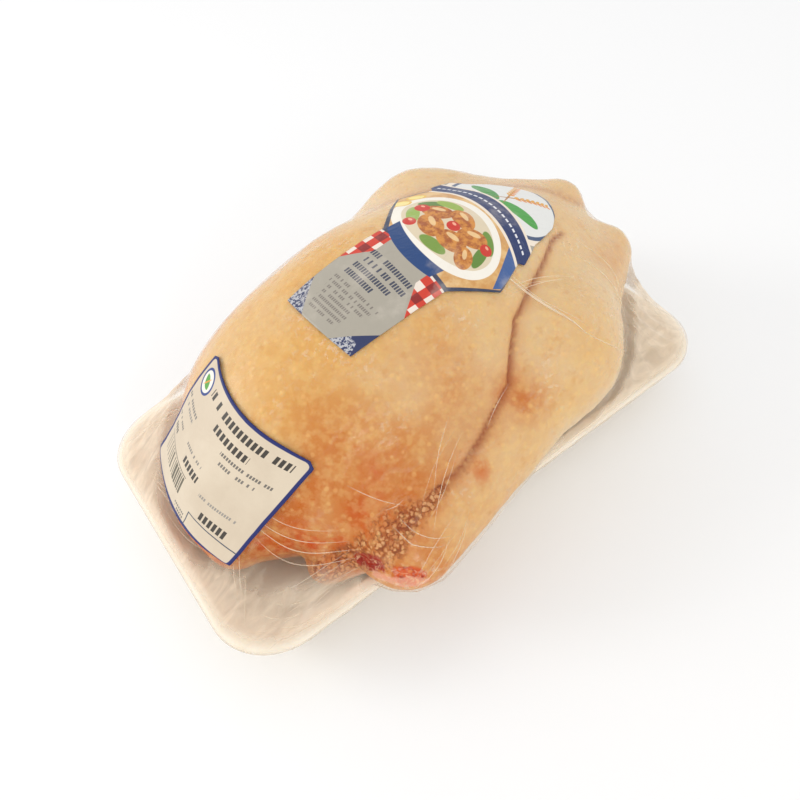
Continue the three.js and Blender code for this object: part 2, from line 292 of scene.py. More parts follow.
ball = bmesh.new()
bmesh.ops.create_icosphere(ball, subdivisions=7, radius=1)
ball_directions = np.array([vertex.co.normalized()[:] for vertex in ball.verts])
ball_faces = [[vertex.index for vertex in face.verts] for face in ball.faces]
ball.free()
skin_radius = skin_reach(ball_directions)
skin_points = HEART + ball_directions * skin_radius[:, None]
bird = mesh_object("chicken", skin_points, ball_faces)
print("chicken:", len(ball_faces), "triangles, top at", round(skin_points[:, 2].max(), 1), "mm")

# %% [markdown]
# The skin's colours follow the body: fat shows orange low at the front, painted shade darkens the creases
# and the bottom of the neck end, and the leg's bare meat shows where the skin ends. Each such place is a
# named value from 0 to 1 on the mesh, worked out from the same distances, and the skin material reads it.

# %% Mark places on the skin
HALO_RADII = [2, 2, 2.2, 2.5, 3, 3, 3, 4, 4.5, 5, 5.5, 6, 6, 6]
PALE_SPOTS = [((-8, -62, 46), 15, 1), ((16, -56, 52), 12, 1), ((-27, -65, 40), 13, 1), ((-24, -36, 69), 14, 1)]
FAT_SPOTS = [
    ((10, -53, 57), 8, 0.9), ((-47, -65, 38), 7, 0.6), ((78, -25, 58), 10, 0.35), ((-48, -26, 68), 11, 0.5),
]
BLUSH_SPOTS = [
    ((-41, -43.5, 54.4), 5.5, 1), ((-38, -48, 49.5), 3.2, 1), ((-14, -58, 48), 4, 1), ((78, 24, 62), 5, 1),
    ((88, 8, 60), 4, 1),
]
DEEP_FAT_PATH = [(-95, 14, 28), (-95, 0, 28), (-92, -16, 31), (-86, -26, 36), (-76, -37, 35), (-66, -46, 35)]
DEEP_FAT_RADII = [5, 6, 7, 8, 9, 7]
PINK_PATH = [(-57, -59, 31), (-55, -62, 32), (-52, -66, 31), (-45, -69, 30.5)]
PINK_RADII = [1.3, 1.8, 1.8, 1.2]


def mark(piece, name, values):
    layer = piece.data.attributes.new(name, "FLOAT", "POINT")
    layer.data.foreach_set("value", np.asarray(values, dtype=np.float32))


def spots(p, places):
    """A sum of round spots, each with a point that it lies at, a radius and a strength."""
    return sum(strength * near_ray(p, point, radius) for point, radius, strength in places)


x, y, z = skin_points.T
far_gap = np.abs(trunk_distance(skin_points) - leg_distance(skin_points, FAR_LEG))
far_crease = smooth_step(z, 20, 30) * (y > 0)
# Painted crease shade: a dark line along each leg's crease, and a wider warm halo round it.
near_crease_shade = near_path(skin_points, CREASE_PATH, np.multiply(CREASE_RADII, 0.9))
mark(bird, "crease", np.maximum(near_crease_shade, 0.5 * far_crease * np.exp(-np.square(far_gap / 1.4))))
near_crease_shade_halo = near_path(skin_points, CREASE_PATH, HALO_RADII)
mark(bird, "crease_shade_halo", np.maximum(near_crease_shade_halo, 0.6 * far_crease * np.exp(-np.square(far_gap / 4))))
mark(bird, "grain", near_path(skin_points, GRAIN_PATH, GRAIN_RADII))

drop = z - 0.35 * (x + 50)
fat_low = smooth_step(-drop, -72, -54) * smooth_step(-x, -12, 22)
pale = np.clip(spots(skin_points, PALE_SPOTS), 0, 1)
mark(bird, "golden", smooth_step(-x, -14, 14) * (1 - 0.6 * pale))
mark(bird, "fat", np.clip(fat_low * (1 - 0.8 * pale) + spots(skin_points, FAT_SPOTS), 0, 1))
deep_fat = near_path(skin_points, DEEP_FAT_PATH, DEEP_FAT_RADII)
deep_fat = deep_fat + 0.6 * near_ray(skin_points, (-51, -50, 45.5), 8)
mark(bird, "deep_fat", np.clip(deep_fat, 0, 1))
# Painted shade on the bottom of the neck end, low by the tray floor.
mark(bird, "neck_bottom_shade", smooth_step(-z, -30, -22) * smooth_step(-x, 20, 50))
for name, (path, radii) in zip(("red_meat", "orange_meat"), BARE_MEAT):
    mark(bird, name, near_path(skin_points, path, radii))
mark(bird, "pink_edge", near_path(skin_points, PINK_PATH, PINK_RADII))
mark(bird, "blush", spots(skin_points, BLUSH_SPOTS))
print("marks on the skin:", [layer.name for layer in bird.data.attributes if layer.domain == "POINT"])

# %% [markdown]
# Materials share a few effects, so each effect is a node group that is built once: uneven mottling, small
# speckles, and a fine bump of round dimples. Short helpers add nodes and join them.

# %% Helpers for shader nodes
def plug(tree, value, socket):
    if isinstance(value, bpy.types.NodeSocket):
        tree.links.new(value, socket)
    else:
        socket.default_value = value


def set_sockets(node, **settings):
    for label, value in settings.items():
        node.inputs[label.replace("_", " ")].default_value = value


def calc(tree, operation, *values, clamp=False):
    node = tree.nodes.new("ShaderNodeMath")
    node.operation = operation
    node.use_clamp = clamp
    for value, socket in zip(values, node.inputs):
        plug(tree, value, socket)
    return node.outputs[0]


def times(tree, *values):
    total = values[0]
    for value in values[1:]:
        total = calc(tree, "MULTIPLY", total, value)
    return total


def plus(tree, *values):
    total = values[0]
    for value in values[1:]:
        total = calc(tree, "ADD", total, value)
    return total


def mix_colour(tree, amount, below, above):
    node = tree.nodes.new("ShaderNodeMix")
    node.data_type = "RGBA"
    plug(tree, amount, node.inputs["Factor"])
    plug(tree, below, node.inputs[6])
    plug(tree, above, node.inputs[7])
    return node.outputs[2]


def ramp(tree, value, low, high, to_low=0.0, to_high=1.0):
    node = tree.nodes.new("ShaderNodeMapRange")
    node.interpolation_type = "SMOOTHSTEP"
    for name, setting in (("Value", value), ("From Min", low), ("From Max", high)):
        plug(tree, setting, node.inputs[name])
    plug(tree, to_low, node.inputs["To Min"])
    plug(tree, to_high, node.inputs["To Max"])
    return node.outputs["Result"]


def noise_at(tree, point, scale, detail=2.0, distortion=0.0):
    node = tree.nodes.new("ShaderNodeTexNoise")
    set_sockets(node, Detail=detail, Distortion=distortion)
    plug(tree, point, node.inputs["Vector"])
    plug(tree, scale, node.inputs["Scale"])
    return node


def cells_at(tree, point, scale):
    node = tree.nodes.new("ShaderNodeTexVoronoi")
    plug(tree, point, node.inputs["Vector"])
    plug(tree, scale, node.inputs["Scale"])
    return node


def bumped(tree, height, strength, distance):
    node = tree.nodes.new("ShaderNodeBump")
    set_sockets(node, Strength=strength, Distance=distance)
    plug(tree, height, node.inputs["Height"])
    return node.outputs["Normal"]


def tone(red, green, blue):
    """A screen colour from 0 to 255 as the linear colour that shaders take."""
    parts = [value / 255 for value in (red, green, blue)]
    linear = [part / 12.92 if part <= 0.04045 else ((part + 0.055) / 1.055) ** 2.4 for part in parts]
    return (*linear, 1.0)


def new_group(name, output, *labels):
    """A node group of plain numbers, apart from a label Point, which is a place."""
    tree = bpy.data.node_groups.new(name, "ShaderNodeTree")
    for label in labels:
        kind = "NodeSocketVector" if label == "Point" else "NodeSocketFloat"
        tree.interface.new_socket(label, in_out="INPUT", socket_type=kind)
    tree.interface.new_socket(output, in_out="OUTPUT", socket_type="NodeSocketFloat")
    given, result = tree.nodes.new("NodeGroupInput"), tree.nodes.new("NodeGroupOutput")
    return tree, given.outputs, result.inputs[output]


def place(tree, group, **settings):
    node = tree.nodes.new("ShaderNodeGroup")
    node.node_tree = group
    for label, value in settings.items():
        plug(tree, value, node.inputs[label.replace("_", " ")])
    return node.outputs[0]


def new_material(name):
    material = bpy.data.materials.new(name)
    material.use_nodes = True
    return material, material.node_tree, material.node_tree.nodes["Principled BSDF"]


def object_point(tree):
    return tree.nodes.new("ShaderNodeTexCoord").outputs["Object"]


def attribute(tree, name):
    node = tree.nodes.new("ShaderNodeAttribute")
    node.attribute_name = name
    return node.outputs["Fac"]


class Layers:
    """Colours painted over each other on one surface, each through a mask."""

    def __init__(self, tree, ground):
        self.tree = tree
        self.colour = ground

    def paint(self, mask, colour):
        self.colour = mix_colour(self.tree, mask, self.colour, colour)


# %% Shared effects: mottling, speckles and dimples
mottling, given, mask = new_group("mottling", "Mask", "Point", "Patch", "Low", "High")
clouds = noise_at(mottling, given["Point"], calc(mottling, "DIVIDE", 1.0, given["Patch"]), detail=5)
clouds.inputs["Roughness"].default_value = 0.6
plug(mottling, ramp(mottling, clouds.outputs["Fac"], given["Low"], given["High"]), mask)

speckles, given, mask = new_group("speckles", "Mask", "Point", "Grain", "Share")
cells = cells_at(speckles, given["Point"], calc(speckles, "DIVIDE", 1.0, given["Grain"]))
chosen = calc(speckles, "LESS_THAN", cells.outputs["Color"], given["Share"])
plug(speckles, times(speckles, chosen, ramp(speckles, cells.outputs["Distance"], 0.55, 0.25)), mask)

dimples, given, height = new_group("dimples", "Height", "Point", "Spacing")
cells = cells_at(dimples, given["Point"], calc(dimples, "DIVIDE", 1.0, given["Spacing"]))
plug(dimples, ramp(dimples, cells.outputs["Distance"], 0.45, 0.0), height)
print("shared effects:", [group.name for group in bpy.data.node_groups])

# %% [markdown]
# Raw chicken skin is pale and slightly see-through, so light soaks in and comes out warm: that is
# subsurface scattering. Over a pale ground lie the fat's orange, a blush, painted shade on the bottom of the
# neck end, a painted shade line with a warm halo along each crease, frozen grains along it, bare meat, and
# tiny raised dots where feathers grew.

# %% Skin material
PALE_SKIN = tone(227, 203, 164)
GOLDEN_SKIN = tone(223, 168, 86)
FAT = tone(200, 104, 10)
DEEP_FAT = tone(206, 82, 4)
PALE_FLECK = tone(240, 204, 134)
BROWN_FLECK = tone(206, 138, 66)
BLUSH = tone(206, 106, 38)
NECK_BOTTOM_SHADE = tone(214, 172, 138)
CREASE_SHADE = tone(150, 54, 4)
GRAIN_GROUND = tone(206, 128, 66)
CRUMB = tone(228, 174, 122)
CRUMB_GAP = tone(132, 58, 18)
RED_MEAT = tone(166, 36, 4)
ORANGE_MEAT = tone(214, 82, 4)
PINK_EDGE = tone(232, 164, 136)
THREAD = tone(240, 196, 154)
FEATHER_DOT = tone(248, 212, 140)
FAT_DOT = tone(246, 204, 130)

skin, tree, surface = new_material("chicken skin")
point = object_point(tree)
coat = Layers(tree, PALE_SKIN)

cloudy = place(tree, mottling, Point=point, Patch=0.026, Low=0.34, High=0.66)
golden_here = plus(tree, 0.24, times(tree, cloudy, 0.3), times(tree, attribute(tree, "golden"), 0.36))
coat.paint(golden_here, GOLDEN_SKIN)
uneven = place(tree, mottling, Point=point, Patch=0.012, Low=0.3, High=0.68)
coat.paint(times(tree, attribute(tree, "fat"), ramp(tree, uneven, 0, 1, 0.6, 1)), FAT)
streaky = place(tree, mottling, Point=point, Patch=0.008, Low=0.36, High=0.62)
coat.paint(times(tree, attribute(tree, "deep_fat"), ramp(tree, streaky, 0, 1, 0.25, 1)), DEEP_FAT)
for patch, low, high, share, shade in (
    (0.0034, 0.44, 0.62, 0.26, PALE_FLECK), (0.0046, 0.55, 0.7, 0.32, BROWN_FLECK),
):
    flecks = place(tree, mottling, Point=point, Patch=patch, Low=low, High=high)
    coat.paint(times(tree, flecks, share), shade)
red_spots = place(tree, mottling, Point=point, Patch=0.0075, Low=0.42, High=0.66)
coat.paint(times(tree, attribute(tree, "blush"), red_spots, 0.85), BLUSH)
# Painted shade: a duller, pinker tone on the bottom of the neck end.
coat.paint(times(tree, attribute(tree, "neck_bottom_shade"), 0.55), NECK_BOTTOM_SHADE)
# Painted shade in the creases: a warm halo, then a dark brown line.
coat.paint(times(tree, attribute(tree, "crease_shade_halo"), 0.26), FAT)
coat.paint(times(tree, attribute(tree, "crease"), 0.8), CREASE_SHADE)

# %% Frozen grains and bare meat on the skin
torn = place(tree, mottling, Point=point, Patch=0.0035, Low=0.4, High=0.55)
grain_zone = ramp(tree, plus(tree, attribute(tree, "grain"), times(tree, torn, 0.3)), 0.4, 0.95)
shaken = tree.nodes.new("ShaderNodeVectorMath")
shaken.operation = "MULTIPLY_ADD"
tree.links.new(noise_at(tree, point, 700, detail=3).outputs["Color"], shaken.inputs[0])
shaken.inputs[1].default_value = (0.0019, 0.0019, 0.0019)
tree.links.new(point, shaken.inputs[2])
cells = cells_at(tree, shaken.outputs[0], 680)
chance = tree.nodes.new("ShaderNodeSeparateColor")
plug(tree, cells.outputs["Color"], chance.inputs[0])
some_crumbs = ramp(tree, chance.outputs[0], 0.1, 0.8, 0.2, 1.0)
some_gaps = ramp(tree, chance.outputs[1], 0.2, 0.8, 0.35, 1.0)
crumbs = times(tree, ramp(tree, cells.outputs["Distance"], 0.52, 0.3), grain_zone, some_crumbs)
crumb_gaps = times(tree, ramp(tree, cells.outputs["Distance"], 0.4, 0.62), grain_zone, some_gaps)
coat.paint(times(tree, grain_zone, 0.5), GRAIN_GROUND)
coat.paint(times(tree, crumb_gaps, 0.85), CRUMB_GAP)
coat.paint(times(tree, crumbs, 0.85), CRUMB)
# Dashes of the painted crease shade where its halo is strong.
dashes = place(tree, speckles, Point=point, Grain=0.0016, Share=0.34)
dash_here = ramp(tree, attribute(tree, "crease_shade_halo"), 0.6, 0.9)
coat.paint(times(tree, dashes, dash_here, attribute(tree, "golden"), 0.5), CREASE_SHADE)

strands = place(tree, mottling, Point=point, Patch=0.0028, Low=0.5, High=0.64)
for name, flesh in (("orange_meat", ORANGE_MEAT), ("red_meat", RED_MEAT)):
    bare = ramp(tree, plus(tree, attribute(tree, name), times(tree, torn, 0.2)), 0.45, 0.72)
    coat.paint(bare, mix_colour(tree, strands, flesh, RED_MEAT))
coat.paint(times(tree, ramp(tree, attribute(tree, "pink_edge"), 0.3, 0.6), 0.8), PINK_EDGE)
tangle = noise_at(tree, point, 260, distortion=1.4)
from_middle = calc(tree, "ABSOLUTE", calc(tree, "SUBTRACT", tangle.outputs["Fac"], 0.5))
threads = ramp(tree, from_middle, 0.022, 0.008)
near_meat = calc(tree, "MAXIMUM", attribute(tree, "orange_meat"), attribute(tree, "red_meat"))
coat.paint(times(tree, threads, ramp(tree, near_meat, 0.2, 0.6), 0.7), THREAD)

# %% Feather dots, gloss and relief of the skin
pores = place(tree, dimples, Point=point, Spacing=0.0034)
coat.paint(times(tree, pores, 0.2), FEATHER_DOT)
fat_dots = place(tree, speckles, Point=point, Grain=0.0019, Share=0.2)
coat.paint(times(tree, fat_dots, 0.3), FAT_DOT)
plug(tree, coat.colour, surface.inputs["Base Color"])
set_sockets(
    surface, Roughness=0.42, Specular_IOR_Level=0.2, Subsurface_Weight=0.3,
    Subsurface_Radius=(1.0, 0.45, 0.2), Subsurface_Scale=0.0025,
)
wrinkles = noise_at(tree, point, 420, detail=4)
crumb_height = times(tree, calc(tree, "SUBTRACT", crumbs, crumb_gaps), 1.5)
height = plus(tree, times(tree, pores, 0.8), wrinkles.outputs["Fac"], crumb_height)
plug(tree, bumped(tree, height, 0.55, 0.0005), surface.inputs["Normal"])
bird.data.materials.append(skin)
print("skin material:", len(tree.nodes), "nodes")

# %% [markdown]
# The tray is pressed from a sheet of closed-cell foam. It is lofted through rounded rectangles, as the CAD
# solid is, with more points round its corners and rims so that no facets show.

# %% Foam tray
def outline_ring(inset, height, corner_steps=18, long_steps=24, short_steps=12):
    corner = TRAY_CORNER - inset * 0.5
    x_mid = TRAY_LENGTH / 2 - inset - corner
    y_mid = TRAY_WIDTH / 2 - inset - corner
    middles = [(x_mid, y_mid), (-x_mid, y_mid), (-x_mid, -y_mid), (x_mid, -y_mid)]
    points = []
    for quarter, (cx, cy) in enumerate(middles):
        for step in range(corner_steps + 1):
            angle = math.pi / 2 * (quarter + step / corner_steps)
            points.append((cx + corner * math.cos(angle), cy + corner * math.sin(angle), height))
        end = math.pi / 2 * (quarter + 1)
        nx, ny = middles[(quarter + 1) % 4]
        last = np.array(points[-1])
        target = np.array([nx + corner * math.cos(end), ny + corner * math.sin(end), height])
        side_steps = long_steps if quarter % 2 == 0 else short_steps
        points += [tuple(last + (target - last) * step / side_steps) for step in range(1, side_steps)]
    return np.array(points)


def loft_faces(ring_count, size):
    faces = []
    for ring_index in range(ring_count - 1):
        for i in range(size):
            a = ring_index * size + i
            b = ring_index * size + (i + 1) % size
            faces.append((a, b, b + size, a + size))
    return faces


groove = TRAY_FLARE + 11
tray_profile = [
    (groove + 2.5, 0), (groove + 1.2, 0.8), (groove - 1.2, 0.8), (groove - 2.5, 0), (TRAY_FLARE + 3, 0),
    (TRAY_FLARE + 1, 0.35), (TRAY_FLARE - 0.3, 1.5), (FOAM * 0.6 + 0.4, TRAY_HEIGHT - FOAM - 1.6),
    (RIM_ROLL * 0.6, TRAY_HEIGHT - FOAM), (0.25, TRAY_HEIGHT - RIM_ROLL * 1.5), (0, TRAY_HEIGHT - RIM_ROLL),
    (0.3, TRAY_HEIGHT - RIM_ROLL * 0.5), (RIM_ROLL * 0.6, TRAY_HEIGHT - 0.2), (RIM_ROLL * 1.2, TRAY_HEIGHT),
    (RIM_WIDTH - RIM_ROLL, TRAY_HEIGHT), (RIM_WIDTH - 0.7, TRAY_HEIGHT - 0.4),
    (RIM_WIDTH, TRAY_HEIGHT - RIM_ROLL),
    (TRAY_FLARE + RIM_WIDTH - 1, FOAM + 2.5), (TRAY_FLARE + RIM_WIDTH + 0.6, FOAM + 0.8),
    (TRAY_FLARE + RIM_WIDTH + 3, FOAM),
]
tray_rings = [outline_ring(inset, height) for inset, height in tray_profile]
ring_size = len(tray_rings[0])
tray_points = np.concatenate(tray_rings + [[[0, 0, 0]], [[0, 0, FOAM]]])
tray_faces = loft_faces(len(tray_rings), ring_size)
under_middle, floor_middle = len(tray_points) - 2, len(tray_points) - 1
top_start = (len(tray_rings) - 1) * ring_size
for i in range(ring_size):
    tray_faces.append((under_middle, (i + 1) % ring_size, i))
    tray_faces.append((floor_middle, top_start + i, top_start + (i + 1) % ring_size))
tray = mesh_object("foam_tray", tray_points, tray_faces)
print("foam tray:", len(tray_faces), "faces,", ring_size, "points round each ring")

# %% Foam material
foam, tree, surface = new_material("white foam")
point = object_point(tree)
clouds = place(tree, mottling, Point=point, Patch=0.02, Low=0.3, High=0.7)
plug(tree, mix_colour(tree, clouds, tone(248, 239, 224), tone(242, 231, 213)), surface.inputs["Base Color"])
set_sockets(
    surface, Roughness=0.55, Subsurface_Weight=0.25, Subsurface_Radius=(1.0, 0.8, 0.6), Subsurface_Scale=0.003,
)
beads = place(tree, dimples, Point=point, Spacing=0.0016)
plug(tree, bumped(tree, beads, 0.25, 0.0002), surface.inputs["Normal"])
tray.data.materials.append(foam)

# %% [markdown]
# Stretch film lies on whatever stands out and pulls flat between. Seen from inside the breast, one over the
# distance changes evenly along a flat sheet, so each free point of the film takes the weighted mean of its
# neighbours, and none may go inside the bird. The rounds are run on a coarse net, which settles fast.

# %% Film stretched over the bird
def dome_net(corner_steps, long_steps, short_steps, rings):
    edge = outline_ring(0.4, TRAY_HEIGHT + GAP, corner_steps, long_steps, short_steps)
    low = edge - HEART
    edge_distance = np.linalg.norm(low, axis=1)
    low /= edge_distance[:, None]
    angle = np.arccos(low[:, 2])
    up = np.array([0.0, 0.0, 1.0])
    rows = []
    for k in range(rings):
        part = k / rings
        mixed = low * (np.sin((1 - part) * angle) / np.sin(angle))[:, None]
        rows.append(mixed + up * (np.sin(part * angle) / np.sin(angle))[:, None])
    return np.concatenate(rows + [up[None]]), edge_distance


def dome_triangles(size, rings):
    faces = []
    pole = size * rings
    for k in range(rings):
        for i in range(size):
            a = k * size + i
            b = k * size + (i + 1) % size
            if k == rings - 1:
                faces.append((a, b, pole))
            else:
                faces += [(a, b, b + size), (a, b + size, a + size)]
    return np.array(faces)


def stretch_film(directions, faces, touching, held_count, rounds):
    starts, ends, weights = [], [], []
    for k in range(3):
        i, j, apex = faces[:, k], faces[:, (k + 1) % 3], faces[:, (k + 2) % 3]
        to_i, to_j = directions[i] - directions[apex], directions[j] - directions[apex]
        cross = np.linalg.norm(np.cross(to_i, to_j), axis=1)
        weight = (to_i * to_j).sum(axis=1) / np.maximum(cross, 1e-9) / 2
        starts += [i, j]
        ends += [j, i]
        weights += [weight, weight]
    starts, ends, weights = (np.concatenate(part) for part in (starts, ends, weights))
    count = len(directions)
    turn = (directions[starts] * directions[ends]).sum(axis=1)
    spread = np.bincount(starts, weights * turn, count)
    held = 1 / touching
    film = held.copy()
    for _ in range(rounds):
        mean = np.bincount(starts, weights * film[ends], count) / spread
        mean[:held_count] = held[:held_count]
        film = np.minimum(held, film + 0.95 * (mean - film))
    return 1 / film


COARSE = dict(corner_steps=9, long_steps=20, short_steps=12)
COARSE_RINGS = 26
coarse_directions, coarse_edge = dome_net(**COARSE, rings=COARSE_RINGS)
coarse_size = len(coarse_edge)
coarse_touch = reach(coarse_directions, film_support, 150.0) + FILM
coarse_touch[:coarse_size] = coarse_edge
coarse_faces = dome_triangles(coarse_size, COARSE_RINGS)
coarse_film = stretch_film(coarse_directions, coarse_faces, coarse_touch, coarse_size, 1500)
print("film settled on", len(coarse_film), "points")

# %% [markdown]
# The fine film takes its shape from the settled net, lifted wherever the finer skin stands higher. Where it
# hangs free of the bird it isn't quite flat: tension puckers it into small pleats that run down to the rim.

# %% Fine film with its pleats
FINER = 3
FILM_RINGS = COARSE_RINGS * FINER
ABOVE_SKIN = 0.25
PLEAT_HEIGHT = 0.7
directions, edge_distance = dome_net(*(steps * FINER for steps in COARSE.values()), rings=FILM_RINGS)
size = len(edge_distance)
coarse_rows = coarse_film[:-1].reshape(COARSE_RINGS, coarse_size)
coarse_rows = np.concatenate([coarse_rows, np.full((1, coarse_size), coarse_film[-1])])
row_at = np.arange(FILM_RINGS) / FINER
row_low = np.floor(row_at).astype(int)
row_part = (row_at - row_low)[:, None]
along_rows = coarse_rows[row_low] * (1 - row_part) + coarse_rows[row_low + 1] * row_part
column_at = np.arange(size) * coarse_size / size
column_low = np.floor(column_at).astype(int)
column_part = column_at - column_low
next_column = (column_low + 1) % coarse_size
taut = along_rows[:, column_low] * (1 - column_part) + along_rows[:, next_column] * column_part
taut = np.append(taut.ravel(), coarse_film[-1])
skin_below = skin_reach(directions)
hang = taut - skin_below
free = smooth_step(hang, 0.8, 5.0)
free[:size] = 0
smooth_radius = np.maximum(taut, skin_below + ABOVE_SKIN)
smooth_radius[:size] = edge_distance
smooth_dome = HEART + directions * smooth_radius[:, None]
smooth_tree = BVHTree.FromPolygons(smooth_dome.tolist(), dome_triangles(size, FILM_RINGS).tolist())

around_rim = np.append(np.tile(np.arange(size) * 2 * math.pi / size, FILM_RINGS), 0)
up_from_rim = np.append(np.repeat(np.arange(FILM_RINGS) / FILM_RINGS, size), 1)
wander = 0.35 * np.sin(7 * up_from_rim * math.pi + 3 * around_rim)
pleats = np.abs(np.sin(37 * around_rim + wander)) ** 6 * 0.8
pleats += np.abs(np.sin(23.5 * around_rim - wander * 2)) ** 10
pleats *= free * smooth_step(-up_from_rim, -0.5, -0.05) * smooth_step(up_from_rim, 0, 0.04)
under_price_label = near_ray(smooth_dome, (-71, -6, 52), 34) > 0.3
film_radius = smooth_radius + PLEAT_HEIGHT * pleats * ~under_price_label
film_radius[:size] = edge_distance
film_dome = HEART + directions * film_radius[:, None]
print("film stands free over", round(100 * float((free > 0.5).mean())), "% of its points")

# %% [markdown]
# From the rim the film turns down, spans the flared wall and is gathered under the tray, where its folds
# are sealed flat. Rings of points carry it there, and a radial ripple makes the gathered folds.

# %% Film round the tray and under it
edge_options = {key: steps * FINER for key, steps in COARSE.items()}
UNDER_DEPTH = 0.25


def under_ring(share, lift):
    ring_points = outline_ring(TRAY_FLARE + 2, -UNDER_DEPTH, **edge_options)
    ring_points[:, :2] *= share
    angle = np.arange(size) * 2 * math.pi / size
    folds = np.abs(np.sin(31 * angle + 4 * share)) ** 3 + 0.6 * np.abs(np.sin(17 * angle - 3 * share)) ** 5
    ring_points[:, 2] -= lift * folds
    return ring_points


skirt = [
    outline_ring(-0.25, TRAY_HEIGHT - 0.4, **edge_options),
    outline_ring(-0.4, TRAY_HEIGHT - RIM_ROLL, **edge_options),
    outline_ring(0.9, TRAY_HEIGHT - FOAM - 1, **edge_options),
    outline_ring(3.6, TRAY_HEIGHT * 0.62, **edge_options),
    outline_ring(7.4, TRAY_HEIGHT * 0.34, **edge_options),
    outline_ring(TRAY_FLARE - 1.2, 1.2, **edge_options),
    outline_ring(TRAY_FLARE + 0.4, 0.0, **edge_options),
    under_ring(1.0, 0.0), under_ring(0.93, 0.12), under_ring(0.84, 0.2), under_ring(0.72, 0.25),
    under_ring(0.58, 0.25), under_ring(0.42, 0.25), under_ring(0.26, 0.2), under_ring(0.12, 0.1),
]
wall_rings = range(2, 6)
angle = np.arange(size) * 2 * math.pi / size
for ring_index in wall_rings:
    tuck = np.abs(np.sin(29 * angle + 0.4 * ring_index)) ** 8 * 0.5
    outward = skirt[ring_index][:, :2] / np.linalg.norm(skirt[ring_index][:, :2], axis=1, keepdims=True)
    skirt[ring_index][:, :2] += outward * tuck[:, None]
envelope_rings = skirt[::-1] + [film_dome[:size]]
lower_points = np.concatenate(skirt[::-1])
film_points = np.concatenate([lower_points, film_dome, [[0, 0, -UNDER_DEPTH]]])
film_faces = loft_faces(len(envelope_rings), size)
offset = len(lower_points)
film_faces += [tuple(face + offset) for face in dome_triangles(size, FILM_RINGS)]
seal = len(film_points) - 1
film_faces += [(seal, (i + 1) % size, i) for i in range(size)]
film = mesh_object("stretch_film", film_points, film_faces)
print("stretch film:", len(film_faces), "faces")

# %% [markdown]
# The film's look depends on what is under it. It is milky where it hangs far off the skin, apart from the
# near front, where it is clear and the fat's orange shows through, and frost lies only where it touches.

# %% Mark the film where it hangs and where it touches
film_x, film_y, film_z = film_dome.T
near_front = smooth_step(-film_x, -30, -10) * smooth_step(-film_y, -6, 6)
far_from_skin = smooth_step(hang, 2.5, 7) * (1 - near_front * (0.1 + 0.9 * smooth_step(film_z, 30, 38)))
far_from_skin[:size] = 0
touching = 1 - smooth_step(hang, 0.6, 2.5)
touching[:size] = 0
mark(film, "far_from_skin", np.concatenate([np.full(offset, 0.15), far_from_skin, [0.15]]))
mark(film, "touching", np.concatenate([np.zeros(offset), touching, [0]]))
print("film far from the skin at", round(100 * float((far_from_skin > 0.5).mean())), "% of its points")

# %% [markdown]
# Clear film is nearly invisible where you look straight through it, mirrors the lamps where they graze it,
# and looks milky on edge, because light crosses more of it there. So one value, how far the surface turns
# away, drives both the gloss and the milk. Frost flakes inside the pack add small white dots in patches.

# %% Film material
clear, tree, surface = new_material("clear film")
tree.nodes.remove(surface)
output = tree.nodes["Material Output"]
point = object_point(tree)
through = tree.nodes.new("ShaderNodeBsdfTransparent")
set_sockets(through, Color=(0.99, 0.985, 0.975, 1))
gloss = tree.nodes.new("ShaderNodeBsdfGlossy")
set_sockets(gloss, Roughness=0.14)
milk = tree.nodes.new("ShaderNodeBsdfPrincipled")
set_sockets(milk, Base_Color=tone(250, 230, 202), Roughness=0.35)

stretched = tree.nodes.new("ShaderNodeMapping")
set_sockets(stretched, Scale=(1.0, 3.2, 1.4), Rotation=(0.2, 0.1, 0.5))
plug(tree, point, stretched.inputs["Vector"])
streaks = noise_at(tree, stretched.outputs["Vector"], 75, detail=6, distortion=0.8)
plug(tree, bumped(tree, streaks.outputs["Fac"], 0.8, 0.0012), gloss.inputs["Normal"])
turned = tree.nodes.new("ShaderNodeLayerWeight")
set_sockets(turned, Blend=0.5)
edge_on = calc(tree, "POWER", turned.outputs["Facing"], 5.0)
glossy_film = tree.nodes.new("ShaderNodeMixShader")
plug(tree, plus(tree, 0.018, times(tree, edge_on, 0.4)), glossy_film.inputs[0])
tree.links.new(through.outputs[0], glossy_film.inputs[1])
tree.links.new(gloss.outputs[0], glossy_film.inputs[2])

flakes = place(tree, mottling, Point=point, Patch=0.0016, Low=0.5, High=0.62)
flake_patches = place(tree, mottling, Point=point, Patch=0.022, Low=0.46, High=0.66)
frost = times(tree, flakes, flake_patches, attribute(tree, "touching"), 0.3)
fine_lines = ramp(tree, streaks.outputs["Fac"], 0.56, 0.7, 0.0, 0.07)
edge_milk = times(tree, calc(tree, "POWER", turned.outputs["Facing"], 3.0), 0.35)
streaky_milk = ramp(tree, streaks.outputs["Fac"], 0.3, 0.65, 0.36, 0.54)
free_milk = times(tree, attribute(tree, "far_from_skin"), streaky_milk)
haze = calc(tree, "ADD", plus(tree, frost, fine_lines, edge_milk), free_milk, clamp=True)
milky_film = tree.nodes.new("ShaderNodeMixShader")
plug(tree, haze, milky_film.inputs[0])
tree.links.new(glossy_film.outputs[0], milky_film.inputs[1])
tree.links.new(milk.outputs[0], milky_film.inputs[2])
tree.links.new(milky_film.outputs[0], output.inputs["Surface"])
film.data.materials.append(clear)

# %% [markdown]
# A label is a thin printed sheet that follows the film. Its outline is a list of rows, each with a left and
# a right end, as in the CAD. A line from inside the breast through each point of the flat sheet finds the
# film, and the sheet's own flat position in millimetres is kept as its UV map, which the print reads.
# Paper doesn't stretch, so the scale label's points are then moved along the sheet, a few rounds over, until
# every step on the film has its right length.

# %% Lay a label on the film
UV_SPAN = 160.0
LABEL_LIFT = 0.35
LABEL_THICKNESS = 0.12
LABEL_STEP = 0.8
LENGTH_ROUNDS = 3


